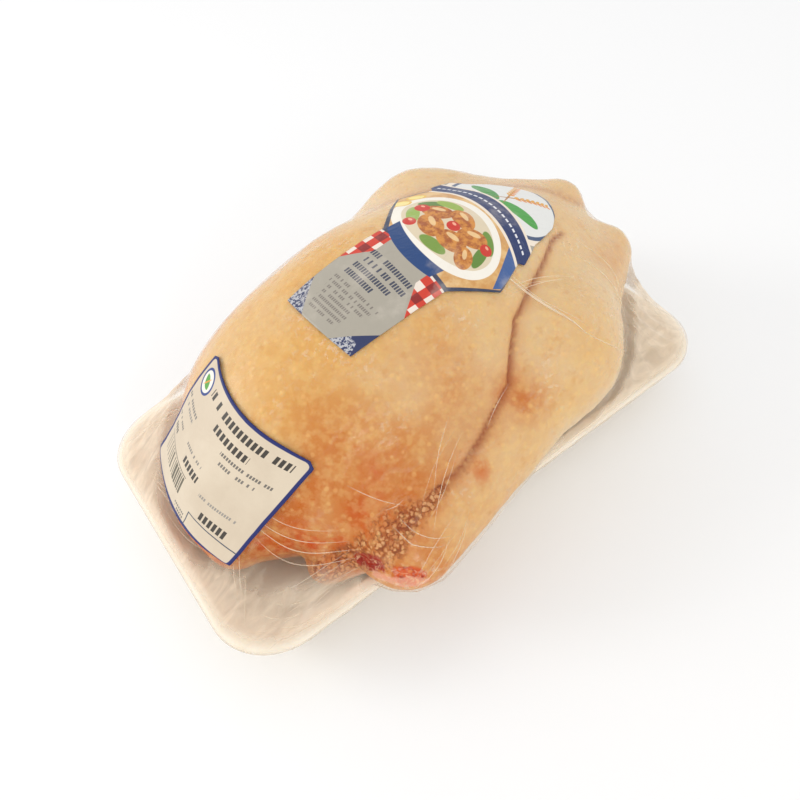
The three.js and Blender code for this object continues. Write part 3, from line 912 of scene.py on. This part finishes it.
def label_rows(rows):
    ups = [row[0] for row in rows]
    at = np.linspace(ups[0], ups[-1], int((ups[-1] - ups[0]) / LABEL_STEP) + 1)
    return at, np.interp(at, ups, [row[1] for row in rows]), np.interp(at, ups, [row[2] for row in rows])


def label_point(sheet_point):
    ray = (sheet_point - HEART) / np.linalg.norm(sheet_point - HEART)
    hit, normal, _, _ = smooth_tree.ray_cast(Vector(HEART), Vector(ray))
    return np.array(hit) + np.array(normal) * LABEL_LIFT * (1 if np.dot(normal, ray) > 0 else -1)


def even_out(laid, flat, grid, axis):
    """Move the points along one axis of the sheet so that each step on the film is as long as when flat."""
    on_film_steps = np.linalg.norm(np.diff(grid, axis=axis), axis=2)
    steps = np.diff(laid, axis=axis) * np.diff(flat, axis=axis) / on_film_steps
    start = np.zeros_like(np.take(laid, [0], axis=axis))
    walked = np.concatenate([start, np.cumsum(steps, axis=axis)], axis=axis)
    middle_at = laid.shape[axis] // 2
    return walked - np.take(walked, [middle_at], axis=axis) + np.take(flat, [middle_at], axis=axis)


def lay_label(name, middle, up, text, rows, columns, growth=None):
    """A growth across and up makes the sheet larger than its drawing, and has it keep those lengths."""
    up = np.array(up, float) / np.linalg.norm(up)
    text = np.array(text, float) - np.dot(text, up) * up
    text /= np.linalg.norm(text)
    at, left, right = label_rows(rows)
    width = columns + 1
    flat_up = np.repeat(at[:, None], width, axis=1)
    flat_across = left[:, None] + (right - left)[:, None] * np.linspace(0, 1, width)

    def on_film_grid(laid_across, laid_up):
        sheet = np.array(middle) + laid_up[..., None] * up + laid_across[..., None] * text
        return np.array([label_point(point) for point in sheet.reshape(-1, 3)]).reshape(len(at), width, 3)

    laid_across, laid_up = flat_across, flat_up
    grid = on_film_grid(laid_across, laid_up)
    for _ in range(LENGTH_ROUNDS if growth else 0):
        laid_across = even_out(laid_across, flat_across * growth[0], grid, 1)
        laid_up = even_out(laid_up, flat_up * growth[1], grid, 0)
        grid = on_film_grid(laid_across, laid_up)
    edges = [grid[0], grid[-1], grid[:, 0], grid[:, -1]]
    lengths = [round(float(np.linalg.norm(np.diff(edge, axis=0), axis=1).sum()), 1) for edge in edges]
    print(name, "edge lengths low, high, left and right in mm:", lengths)

    faces = []
    for j in range(len(at) - 1):
        for i in range(columns):
            a = j * width + i
            faces.append((a, a + 1, a + width + 1, a + width))
    label = mesh_object(name, grid.reshape(-1, 3), faces)
    layer = label.data.uv_layers.new(name="flat print")
    corners = np.array([loop.vertex_index for loop in label.data.loops])
    flat = np.stack([flat_across.ravel(), flat_up.ravel()], axis=1)[corners] / UV_SPAN + 0.5
    layer.data.foreach_set("uv", flat.ravel())
    sheet_thickness = label.modifiers.new("paper thickness", "SOLIDIFY")
    sheet_thickness.thickness = LABEL_THICKNESS * MM
    sheet_thickness.offset = 1
    return label


PRODUCT_ROWS = [
    (-47, -14, 18), (-8, -14, 17), (11, -33, 28), (24, -29, 21), (27, -33, 23),
    (38, -34, 17), (44, -29, 16), (56, -26, 13), (65, -19, 7), (71, -9, -1),
]
PRICE_ROWS = [(-23, -23.5, 23.5), (-20.5, -26, 26), (20.5, -26, 26), (23, -23.5, 23.5)]
PRICE_UP, PRICE_TEXT = (31.4, -5.9, 28.9), (-6.7, -47.7, -12.4)
product_label = lay_label("breast_label", (12, -5, 84.5), (1, 0, 0), (0, -1, 0), PRODUCT_ROWS, 70)
price_label = lay_label(
    "scale_label", (-72.3, -5.4, 51), PRICE_UP, PRICE_TEXT, PRICE_ROWS, 64, growth=(1.07, 1.02),
)
print("labels:", len(product_label.data.polygons), "and", len(price_label.data.polygons), "faces")

# %% [markdown]
# A print is a stack of flat shapes. Each shape is a mask worked out from the sheet's own millimetres, and
# each mask paints one colour over what is below it. This part carries no words: a row of dashes, with some
# left out at random, looks like small print from a distance.

# %% Shapes for the prints
EDGE_BLUR = 0.08

half_plane, given, mask = new_group("half plane", "Mask", "Across", "Up", "X", "Y", "Toward X", "Toward Y")
along_x = times(half_plane, calc(half_plane, "SUBTRACT", given["Across"], given["X"]), given["Toward X"])
along_y = times(half_plane, calc(half_plane, "SUBTRACT", given["Up"], given["Y"]), given["Toward Y"])
plug(half_plane, ramp(half_plane, plus(half_plane, along_x, along_y), -EDGE_BLUR, EDGE_BLUR), mask)

oval_shape, given, mask = new_group(
    "oval shape", "Mask", "Across", "Up", "X", "Y", "Half X", "Half Y", "Cosine", "Sine", "Soft",
)
dx = calc(oval_shape, "SUBTRACT", given["Across"], given["X"])
dy = calc(oval_shape, "SUBTRACT", given["Up"], given["Y"])
turned_x = plus(oval_shape, times(oval_shape, dx, given["Cosine"]), times(oval_shape, dy, given["Sine"]))
turned_y = calc(
    oval_shape, "SUBTRACT", times(oval_shape, dy, given["Cosine"]), times(oval_shape, dx, given["Sine"])
)
a = calc(oval_shape, "DIVIDE", turned_x, given["Half X"])
b = calc(oval_shape, "DIVIDE", turned_y, given["Half Y"])
from_middle = calc(oval_shape, "SQRT", plus(oval_shape, times(oval_shape, a, a), times(oval_shape, b, b)))
soft_in = calc(oval_shape, "SUBTRACT", 1.0, given["Soft"])
plug(oval_shape, ramp(oval_shape, from_middle, plus(oval_shape, 1.0, given["Soft"]), soft_in), mask)


class Print(Layers):
    """A drawing board in millimetres, on which a shape is a mask."""

    def __init__(self, tree, ground):
        super().__init__(tree, ground)
        uv = tree.nodes.new("ShaderNodeUVMap")
        uv.uv_map = "flat print"
        split = tree.nodes.new("ShaderNodeSeparateXYZ")
        tree.links.new(uv.outputs["UV"], split.inputs[0])
        self.across = times(tree, calc(tree, "SUBTRACT", split.outputs[0], 0.5), UV_SPAN)
        self.up = times(tree, calc(tree, "SUBTRACT", split.outputs[1], 0.5), UV_SPAN)

    def beyond(self, x, y, toward_x, toward_y):
        length = math.hypot(toward_x, toward_y)
        return place(
            self.tree, half_plane, Across=self.across, Up=self.up, X=x, Y=y,
            Toward_X=toward_x / length, Toward_Y=toward_y / length,
        )

    def both(self, *masks):
        return times(self.tree, *masks)

    def without(self, mask, cut):
        return times(self.tree, mask, calc(self.tree, "SUBTRACT", 1.0, cut))

    def polygon(self, *corners):
        """A convex shape whose corners run counter-clockwise."""
        sides = []
        for (x, y), (nx, ny) in zip(corners, corners[1:] + corners[:1]):
            sides.append(self.beyond(x, y, -(ny - y), nx - x))
        return self.both(*sides)

    def box(self, left, low, right, high):
        return self.polygon((left, low), (right, low), (right, high), (left, high))

    def disc(self, x, y, half_x, half_y, turn=0):
        """An oval with its half sizes, turned counter-clockwise in degrees."""
        return place(
            self.tree, oval_shape, Across=self.across, Up=self.up, X=x, Y=y, Half_X=half_x, Half_Y=half_y,
            Cosine=math.cos(math.radians(turn)), Sine=math.sin(math.radians(turn)),
            Soft=0.1 / min(half_x, half_y),
        )

    def rounded_box(self, half_x, half_y, corner):
        """A box about the middle, with round corners."""
        tree = self.tree
        x = calc(tree, "SUBTRACT", calc(tree, "ABSOLUTE", self.across), half_x - corner)
        y = calc(tree, "SUBTRACT", calc(tree, "ABSOLUTE", self.up), half_y - corner)
        past_x, past_y = calc(tree, "MAXIMUM", x, 0.0), calc(tree, "MAXIMUM", y, 0.0)
        squares = plus(tree, times(tree, past_x, past_x), times(tree, past_y, past_y))
        return ramp(tree, calc(tree, "SQRT", squares), corner + EDGE_BLUR, corner - EDGE_BLUR)

    def bars(self, left, low, right, high, letter, share):
        """A row of dashes in place of words: one for each letter's width, with some left out."""
        tree = self.tree
        position = calc(tree, "DIVIDE", self.across, letter)
        dash = calc(tree, "COMPARE", calc(tree, "FRACT", position), 0.5, 0.33)
        white = tree.nodes.new("ShaderNodeTexWhiteNoise")
        white.noise_dimensions = "2D"
        join = tree.nodes.new("ShaderNodeCombineXYZ")
        plug(tree, calc(tree, "FLOOR", position), join.inputs[0])
        join.inputs[1].default_value = low
        plug(tree, join.outputs[0], white.inputs["Vector"])
        inked = calc(tree, "LESS_THAN", white.outputs["Value"], share)
        return self.both(self.box(left, low, right, high), inked, dash)


NAVY = tone(20, 44, 98)
PALE_EDGE = tone(240, 226, 208)
INK = tone(62, 54, 50)


def add_wrinkles(tree, surface, depth):
    """Film and paper over an uneven bird are never quite flat."""
    creases = noise_at(tree, object_point(tree), 90, detail=5, distortion=1.5)
    plug(tree, bumped(tree, creases.outputs["Fac"], 0.6, depth), surface.inputs["Normal"])


# %% [markdown]
# The breast label has a grey strip with rows of dashes, gingham at its sides and worn dark blue corners. Its
# wider panel shows a round dish of potatoes, tomatoes and herbs, and above a plain blue band two ears of
# wheat cross in an oval. It is a free design with the size, place and colours of such labels, without words.

# %% Breast label's strip
printed, tree, surface = new_material("breast label print")
board = Print(tree, tone(170, 163, 149))
CHECK = 6.2
checks = []
for axis in (board.across, board.up):
    wave = calc(tree, "SINE", times(tree, axis, 2 * math.pi / CHECK))
    checks.append(ramp(tree, wave, -EDGE_BLUR, EDGE_BLUR))
red_thread, white_thread, dark_square = tone(208, 56, 34), tone(238, 224, 210), tone(140, 24, 20)
one_way = mix_colour(tree, checks[0], white_thread, red_thread)
other_way = mix_colour(tree, checks[0], red_thread, dark_square)
gingham = mix_colour(tree, checks[1], one_way, other_way)
board.paint(board.polygon((-14.2, -24.5), (-7.5, -16), (-8, -8), (-14.2, -6)), gingham)
board.paint(board.polygon((18, -25), (18, -2), (9, -6), (9.5, -14)), gingham)
for low, right in ((-17.2, 10), (-20.4, 11), (-23.6, 9), (-26.8, 5)):
    board.paint(board.bars(-8, low, right, low + 1.9, 1.0, 0.84), tone(62, 66, 84))
for row in range(7):
    low = -30 - 2.1 * row
    board.paint(board.bars(-9 + row * 0.4, low, 11 - row, low + 1.1, 0.8, 0.8), tone(128, 120, 112))
worn = place(tree, mottling, Point=object_point(tree), Patch=0.0009, Low=0.46, High=0.54)
left_corner = board.polygon((-14.2, -47.2), (-5, -47.2), (-14.2, -34))
right_corner = board.polygon((8, -47.2), (18.4, -47.2), (18.2, -33.4), (12.2, -41))
board.paint(calc(tree, "MAXIMUM", left_corner, right_corner), tone(40, 50, 92))
right_corner = board.polygon((8, -47.2), (17.6, -47.2), (15.4, -42), (12.2, -41))
rubbed = calc(tree, "MAXIMUM", left_corner, right_corner)
board.paint(board.both(rubbed, worn), tone(186, 186, 190))

# %% Panel with a dish
panel = board.polygon((-14, -8.5), (17, -8.5), (28.4, 11), (22, 26), (-29, 26), (-33.4, 11))
board.paint(panel, tone(50, 58, 84))
table = board.polygon((-12.8, -7), (16, -7), (27, 11), (21, 25.5), (-28, 25.5), (-32, 11))
grain_lines = place(tree, mottling, Point=object_point(tree), Patch=0.006, Low=0.35, High=0.65)
board.paint(table, mix_colour(tree, grain_lines, tone(206, 150, 84), tone(230, 190, 128)))
board.paint(board.both(table, board.polygon((12, 25), (25, 8), (28, 14), (22, 26))), tone(58, 92, 150))
board.paint(board.both(table, board.disc(-2, 8, 22, 15)), tone(244, 238, 226))
board.paint(board.both(table, board.disc(-2, 8, 18.6, 12)), tone(222, 206, 176))
for x_at, y_at, turn, shade in (
    (-15, 12, 40, tone(92, 128, 48)), (-11, 15.5, 15, tone(148, 176, 72)), (12.5, 9, -65, tone(96, 134, 50)),
    (1, -1.5, 8, tone(120, 152, 60)), (-14, 3, -40, tone(150, 180, 80)), (9.5, 15, -25, tone(110, 144, 56)),
):
    board.paint(board.both(table, board.disc(x_at, y_at, 5, 2.1, turn)), shade)
crisp = place(tree, mottling, Point=object_point(tree), Patch=0.0024, Low=0.4, High=0.64)
roast = mix_colour(tree, crisp, tone(214, 142, 60), tone(166, 88, 34))
for x_at, y_at, half_x, half_y, turn in (
    (-10, 9.5, 5.2, 3.7, 25), (-2.5, 13.5, 5.2, 3.5, -12), (5.5, 11, 5.4, 3.9, 35), (-6, 3.4, 5.6, 3.9, -25),
    (3, 4.2, 5.4, 3.8, 12), (10.2, 3.6, 4.2, 3.2, -40),
):
    board.paint(board.both(table, board.disc(x_at, y_at, half_x, half_y, turn)), roast)
    shine = board.disc(x_at - half_x * 0.2, y_at + half_y * 0.35, half_x * 0.45, half_y * 0.25, turn)
    board.paint(times(tree, shine, 0.7), tone(248, 216, 160))
for x_at, y_at, radius in ((-15.2, 7.6, 2.6), (-1.6, 8.6, 2.3), (11.4, 12.6, 2.4), (-11.4, -0.4, 2.2)):
    board.paint(board.both(table, board.disc(x_at, y_at, radius, radius * 0.9)), tone(204, 46, 28))
    board.paint(board.disc(x_at - 0.6, y_at + 0.8, 0.8, 0.5), tone(246, 170, 140))
for x_at, y_at in ((-26, 14), (-24.5, 6.5)):
    board.paint(board.both(table, board.disc(x_at, y_at, 3.6, 3.4)), tone(232, 184, 52))
    board.paint(board.both(table, board.disc(x_at, y_at, 2.8, 2.6)), tone(248, 226, 134))
ribbon = board.without(board.disc(1, 22, 30, 33), board.disc(1, 24.5, 30, 30.5))
ribbon = board.both(ribbon, board.polygon((-13.5, -12), (9, -20), (11, -2), (-13.5, -2)))
board.paint(ribbon, tone(22, 64, 120))

# %% Oval with wheat, and the band below it
above_band = board.beyond(0, 31, 0, 1)
board.paint(board.both(board.disc(-8, 47, 27.5, 27), above_band), PALE_EDGE)
board.paint(board.both(board.disc(-8, 46.6, 24.8, 24.6), above_band), tone(64, 84, 118))
oval = board.both(board.disc(-8, 46.4, 23, 22.8), above_band)
board.paint(oval, tone(228, 228, 224))
for x_at, turn, shade in ((-17, -24, tone(58, 146, 54)), (2, 24, tone(66, 158, 60))):
    board.paint(board.both(oval, board.disc(x_at, 40, 10, 3.4, turn)), shade)
for lean in (-1, 1):
    foot, head = (-8 - 3 * lean, 36), (-8 + 9 * lean, 64)
    stem_turn = math.degrees(math.atan2(head[1] - foot[1], head[0] - foot[0]))
    middle = ((foot[0] + head[0]) / 2, (foot[1] + head[1]) / 2)
    board.paint(board.both(oval, board.disc(*middle, 14, 0.45, stem_turn)), tone(176, 116, 40))
    for k in range(7):
        t = 0.36 + 0.1 * k
        for side in (-1, 1):
            grain_turn = math.radians(stem_turn + 28 * side)
            x_at = foot[0] + (head[0] - foot[0]) * t + 1.7 * math.cos(grain_turn)
            y_at = foot[1] + (head[1] - foot[1]) * t + 1.7 * math.sin(grain_turn)
            ear = board.disc(x_at, y_at, 1.6, 0.75, math.degrees(grain_turn))
            board.paint(board.both(oval, ear), tone(226, 150 + 12 * side, 46))
for half_height, ends, shade in (
    (6, board.box(-36, 18, 24.5, 46), PALE_EDGE), (4.6, board.box(-34.6, 18, 22.9, 46), NAVY),
    (0.5, board.bars(-31, 18, 19.5, 46, 2.4, 1.1), tone(232, 232, 236)),
):
    high_arc = board.disc(-6, -100, 150, 130 + half_height)
    low_arc = board.disc(-6, -100, 150, 130 - half_height)
    board.paint(board.both(board.without(high_arc, low_arc), ends), shade)
haze = place(tree, mottling, Point=object_point(tree), Patch=0.012, Low=0.5, High=0.72)
board.paint(times(tree, haze, 0.22), tone(236, 224, 210))
plug(tree, board.colour, surface.inputs["Base Color"])
surface.inputs["Roughness"].default_value = 0.36
add_wrinkles(tree, surface, 0.0012)
product_label.data.materials.append(printed)
print("breast label print:", len(tree.nodes), "nodes")

# %% [markdown]
# The scale label is cream thermal paper with a rounded dark blue border. Rows of dashes, a block of upright
# stripes and an outlined box stand where a scale prints its lines, and a leaf badge fills one corner.

# %% Scale label's print
paper, tree, surface = new_material("scale label print")
board = Print(tree, tone(16, 32, 104))
clouded = place(tree, mottling, Point=object_point(tree), Patch=0.02, Low=0.35, High=0.65)
cream = mix_colour(tree, clouded, tone(218, 202, 178), tone(210, 193, 169))
board.paint(board.rounded_box(24.8, 21.8, 2.4), cream)
for left, low, right, high, letter, share, dark in (
    (-14, 16.4, 21.6, 19.2, 1.9, 0.92, 60), (-5.2, 11.4, 10, 14, 1.9, 1.1, 62),
    (1.6, 8.2, 20.8, 9.4, 1.0, 0.8, 112), (1.6, 5.2, 16.6, 6.4, 1.0, 0.76, 120),
    (-24, 6.4, -13, 7.6, 1.1, 0.8, 126), (-23.4, 3.8, -14, 5, 1.1, 0.8, 140),
    (-24, -1.8, -15.6, -0.8, 0.9, 0.76, 110), (-22.9, -6.2, -18.7, -4.4, 1.1, 1.1, 84),
    (-10.9, -0.8, -0.5, 0.2, 0.9, 0.7, 132), (-8.8, -5.6, 1, -3.1, 1.7, 1.1, 60),
    (4.2, -7.8, 19.8, -6.7, 0.9, 0.72, 150), (7.8, -14.8, 19.2, -11.8, 1.9, 1.1, 60),
    (-3.4, -19.8, 2.4, -18.9, 0.9, 0.8, 120), (-3, -21.4, 2.8, -20.5, 0.9, 0.8, 120),
):
    board.paint(board.bars(left, low, right, high, letter, share), tone(dark, dark - 6, dark - 14))
stripe_cell = calc(tree, "FLOOR", calc(tree, "DIVIDE", board.across, 0.42))
stripe_noise = tree.nodes.new("ShaderNodeTexWhiteNoise")
stripe_noise.noise_dimensions = "1D"
plug(tree, stripe_cell, stripe_noise.inputs["W"])
stripes = calc(tree, "LESS_THAN", stripe_noise.outputs["Value"], 0.5)
faded = ramp(tree, board.across, -22.4, -17, 0.3, 0.9)
board.paint(board.both(board.box(-22.4, -15.8, -3.2, -8.6), stripes, faded), tone(72, 68, 48))
board.paint(board.box(-22.6, -8.1, -3, -7.8), INK)
for frame_box in ((3.8, -21.8, 4.2, -16), (3.8, -16.3, 25, -15.9)):
    board.paint(board.box(*frame_box), tone(44, 62, 84))
board.paint(board.disc(-19.5, 16.2, 4.1, 4.1), tone(32, 60, 130))
board.paint(board.disc(-19.5, 16.2, 3.3, 3.3), tone(238, 234, 222))
leaf = board.both(board.disc(-20.2, 14.9, 2.9, 2.9), board.disc(-18.8, 17.4, 2.9, 2.9))
board.paint(leaf, tone(84, 158, 60))
leaf_vein = board.both(board.disc(-19.5, 16.2, 0.25, 2.2, -29), board.disc(-19.5, 16.2, 3, 3))
board.paint(leaf_vein, tone(228, 150, 52))
plug(tree, board.colour, surface.inputs["Base Color"])
surface.inputs["Roughness"].default_value = 0.5
add_wrinkles(tree, surface, 0.0006)
price_label.data.materials.append(paper)
print("scale label print:", len(tree.nodes), "nodes")

# %% [markdown]
# Film that is pulled hard doubles into thin folds, and their pale colour is a painted highlight standing
# for the glints along them. They run in bundles over the shoulders, round the wing and down to the corners.
# Each is drawn as a line on the film, and one Geometry Nodes tree sweeps a thin profile along every line,
# tapers it at both ends and gives it the fold's material.

# %% Lines of the folds
FOLD_HALF_WIDTH = 0.11


def on_film(point):
    ray = np.array(point, float) - HEART
    ray /= np.linalg.norm(ray)
    hit, _, _, _ = smooth_tree.ray_cast(Vector(HEART), Vector(ray))
    return None if hit is None else np.array(hit) + ray * 0.12


def fold_line(start, end, bow, steps=26):
    """A line over the film between two points near it, bowed sideways in its middle."""
    start, end = np.array(start, float), np.array(end, float)
    sideways = np.cross(end - start, (start + end) / 2 - HEART)
    sideways /= np.linalg.norm(sideways)
    line = []
    for t in np.linspace(0, 1, steps):
        point = on_film(start + (end - start) * t + sideways * bow * math.sin(math.pi * t))
        if point is not None:
            line.append(point)
    return line


# Each single fold has its two ends, its bow and its width, and each bundle its two ends, its number of
# folds and how far they scatter.
SINGLE_FOLDS = [
    ((25, -24, 80), (37, -50, 65), 0.0, 4.2), ((27, -24, 80), (39, -49, 66), 1.0, 1.2),
    ((35, -48, 67), (49, -56, 54), 1.5, 1.4), ((59, -25, 70), (61, -49, 50), -5.0, 1.3),
    ((64, -19, 70), (66, -44, 52), -6.0, 1.0), ((7, -48, 62), (-7, -54, 56), 0.5, 1.0),
    ((-51, -41, 54), (-41, -55, 49), 0.8, 1.3), ((-46, -52.5, 48.5), (-40, -54, 50), 0.4, 1.1),
    ((-47, -57, 46), (-37, -69, 39), 0.8, 1.4), ((-44, -57, 47), (-34, -69, 40), 0.8, 1.2),
    ((-78, -28, 45), (-58, -53, 40), 2.2, 1.4), ((-77, -26, 47), (-59, -51, 42), 2.0, 1.2),
    ((-79, -31, 42), (-58, -54, 38), 2.4, 1.2), ((-76, -24, 50), (-60, -47, 44.5), 1.8, 1.0),
    ((-86, -29, 38.5), (-94, -41, 29), 0.3, 1.3), ((-89, -29, 36.5), (-96, -41, 28), 0.3, 1.1),
    ((-88, -35, 35), (-96, -45, 27), 0.3, 1.1), ((-92, -44, 29.5), (-74, -56, 29), 0.6, 1.5),
    ((-89, -50, 27.7), (-70, -58, 26.5), 0.4, 1.6), ((-88, -43, 31.5), (-70, -54, 31), 0.6, 1.2),
    ((89, -26, 51), (97, -43, 28), 0.8, 1.2), ((73, -35, 54), (77, -50, 35), 0.5, 1.0),
]
BUNDLES = [
    ((-94, 22, 33), (-90, -4, 41), 7, 2.2), ((-96, 4, 33.5), (-90, -22, 38), 7, 2.0),
    ((-60, -56, 38), (-90, -46, 29), 7, 2.6), ((84, -26, 55), (98, -44, 28), 5, 3.5),
    ((-30, -66, 42), (-48, -69, 31), 5, 2.5), ((-16, -52, 56), (-34, -64, 44), 4, 3.5),
    ((-80, 20, 50), (-98, 44, 27), 6, 4.0), ((84, 30, 50), (100, 46, 27), 6, 4.0),
    ((40, 62, 40), (10, 60, 30), 5, 4.0), ((102, 25, 36), (104, -25, 27), 5, 3.0),
    ((-20, 56, 46), (-60, 54, 30), 6, 5.0), ((20, -30, 78), (45, -34, 70), 3, 3.0),
]
draw = np.random.default_rng(12)
folds = [(fold_line(start, end, bow), widening) for start, end, bow, widening in SINGLE_FOLDS]
for start, end, count, spread in BUNDLES:
    for _ in range(count):
        shift = draw.normal(scale=spread, size=3)
        lean = draw.normal(scale=spread * 0.5, size=3)
        line = fold_line(np.array(start) + shift, np.array(end) + shift + lean, draw.uniform(-2, 2))
        folds.append((line, draw.uniform(0.5, 1.1)))

fold_mesh = bpy.data.meshes.new("fold lines")
line_points, line_edges, line_widths = [], [], []
for line, widening in folds:
    first = len(line_points)
    line_points += [tuple(point * MM) for point in line]
    line_widths += [widening] * len(line)
    line_edges += [(first + k, first + k + 1) for k in range(len(line) - 1)]
fold_mesh.from_pydata(line_points, line_edges, [])
fold_guide = bpy.data.objects.new("fold_guide", fold_mesh)
bpy.context.scene.collection.objects.link(fold_guide)
mark(fold_guide, "widening", line_widths)
print("fold lines:", len(folds))

# %% Fold material
fold_highlight_look, tree, surface = new_material("doubled film with painted highlight")
# The pale, partly opaque colour is a painted highlight along each fold.
set_sockets(surface, Base_Color=tone(252, 238, 214), Roughness=0.25, Alpha=0.36)

# %% Geometry Nodes tree that sweeps the folds
sweep = bpy.data.node_groups.new("sweep film folds", "GeometryNodeTree")
sweep.interface.new_socket("Geometry", in_out="INPUT", socket_type="NodeSocketGeometry")
width_socket = sweep.interface.new_socket("Half width", in_out="INPUT", socket_type="NodeSocketFloat")
sweep.interface.new_socket("Geometry", in_out="OUTPUT", socket_type="NodeSocketGeometry")
nodes, links = sweep.nodes, sweep.links
given, result = nodes.new("NodeGroupInput"), nodes.new("NodeGroupOutput")
to_curve = nodes.new("GeometryNodeMeshToCurve")
links.new(given.outputs["Geometry"], to_curve.inputs["Mesh"])
along = nodes.new("GeometryNodeSplineParameter")
swell = calc(sweep, "SINE", times(sweep, along.outputs["Factor"], math.pi))
swell = plus(sweep, times(sweep, swell, 0.85), 0.15)
widening = nodes.new("GeometryNodeInputNamedAttribute")
widening.data_type = "FLOAT"
widening.inputs["Name"].default_value = "widening"
swell = times(sweep, swell, widening.outputs["Attribute"])
profile = nodes.new("GeometryNodeCurvePrimitiveCircle")
profile.inputs["Resolution"].default_value = 6
links.new(given.outputs["Half width"], profile.inputs["Radius"])
to_mesh = nodes.new("GeometryNodeCurveToMesh")
links.new(to_curve.outputs[0], to_mesh.inputs["Curve"])
links.new(profile.outputs["Curve"], to_mesh.inputs["Profile Curve"])
links.new(swell, to_mesh.inputs["Scale"])
to_mesh.inputs["Fill Caps"].default_value = True
realize = nodes.new("GeometryNodeRealizeInstances")
links.new(to_mesh.outputs["Mesh"], realize.inputs["Geometry"])
paint_folds = nodes.new("GeometryNodeSetMaterial")
paint_folds.inputs["Material"].default_value = fold_highlight_look
links.new(realize.outputs["Geometry"], paint_folds.inputs["Geometry"])
links.new(paint_folds.outputs["Geometry"], result.inputs["Geometry"])

modifier = fold_guide.modifiers.new("sweep", "NODES")
modifier.node_group = sweep
modifier[width_socket.identifier] = FOLD_HALF_WIDTH * MM
evaluated = fold_guide.evaluated_get(bpy.context.evaluated_depsgraph_get())
swept = bpy.data.meshes.new_from_object(evaluated)
film_folds = bpy.data.objects.new("film_folds", swept)
bpy.context.scene.collection.objects.link(film_folds)
bpy.data.objects.remove(fold_guide)
film_folds.data.shade_smooth()
print("film folds:", len(swept.polygons), "faces")

# %% [markdown]
# Each new piece rides with the frame's one body and stands for the CAD node that it replaces.

# %% Tie the pieces to the frame
for piece, slot_name in (
    (bird, "wrapped_skin"), (film, "wrapped_skin"), (film_folds, "wrapped_skin"), (tray, "foam"),
    (product_label, "product_print"), (price_label, "price_print"),
):
    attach(piece, "root")
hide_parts("film_wrapped_chicken")
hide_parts("film_wrapped_chicken")
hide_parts("film_wrapped_chicken")
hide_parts("tray")
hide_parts("product_label")
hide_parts("price_label")

# %% [markdown]
# The photo was taken from above the neck end's right side, close up and a little rolled. A large soft lamp
# high at the far left gives the film its glints, a weak one fills the near side, and the floor is white.

# %% Camera
CAMERA_TURN = math.radians(-30.7)
CAMERA_RISE = math.radians(50)
CAMERA_ROLL = math.radians(-8.1)
CAMERA_DISTANCE = 262.3 * MM
LOOK_AT = Vector((-8.2, -6.5, 28.0)) * MM

level = math.cos(CAMERA_RISE)
back = Vector((math.sin(CAMERA_TURN) * level, -math.cos(CAMERA_TURN) * level, math.sin(CAMERA_RISE)))
right = (-back).cross(Vector((0, 0, 1))).normalized()
above = right.cross(-back)
rolled_right = right * math.cos(CAMERA_ROLL) + above * math.sin(CAMERA_ROLL)
rolled_up = above * math.cos(CAMERA_ROLL) - right * math.sin(CAMERA_ROLL)
camera_data = bpy.data.cameras.new("camera")
camera_data.lens = 31.5
camera_data.sensor_width = 36
camera_data.clip_start = 0.01
camera = bpy.data.objects.new("camera", camera_data)
camera.matrix_world = Matrix.Translation(LOOK_AT + back * CAMERA_DISTANCE) @ Matrix(
    (rolled_right, rolled_up, back)
).transposed().to_4x4()
bpy.context.scene.collection.objects.link(camera)
bpy.context.scene.camera = camera

# %% Floor and lights
FLOOR_HALF = 3000
FLOOR_LEVEL = -0.9
quarters = ((-1, -1), (1, -1), (1, 1), (-1, 1))
floor_corners = [(x * FLOOR_HALF, y * FLOOR_HALF, FLOOR_LEVEL) for x, y in quarters]
floor = mesh_object("floor", floor_corners, [(0, 1, 2, 3)])
floor_look, tree, surface = new_material("pale floor")
set_sockets(surface, Base_Color=(0.92, 0.92, 0.92, 1), Roughness=0.8)
floor.data.materials.append(floor_look)


def add_lamp(name, place_at, aim, size_m, watts):
    data = bpy.data.lights.new(name, "AREA")
    data.shape = "SQUARE"
    data.size = size_m
    data.energy = watts
    lamp = bpy.data.objects.new(name, data)
    lamp.location = place_at
    lamp.rotation_euler = (Vector(place_at) - Vector(aim)).to_track_quat("Z", "Y").to_euler()
    bpy.context.scene.collection.objects.link(lamp)


add_lamp("soft key", (-0.70, 0.55, 0.45), (0, 0, 0.04), 0.35, 2.2)
add_lamp("low fill", (-0.25, -0.9, 0.45), (0, 0, 0.04), 0.2, 1.0)
world = bpy.context.scene.world or bpy.data.worlds.new("studio")
bpy.context.scene.world = world
world.use_nodes = True
set_sockets(world.node_tree.nodes["Background"], Color=(1, 1, 1, 1), Strength=0.97)
bpy.context.scene.view_settings.view_transform = "Standard"
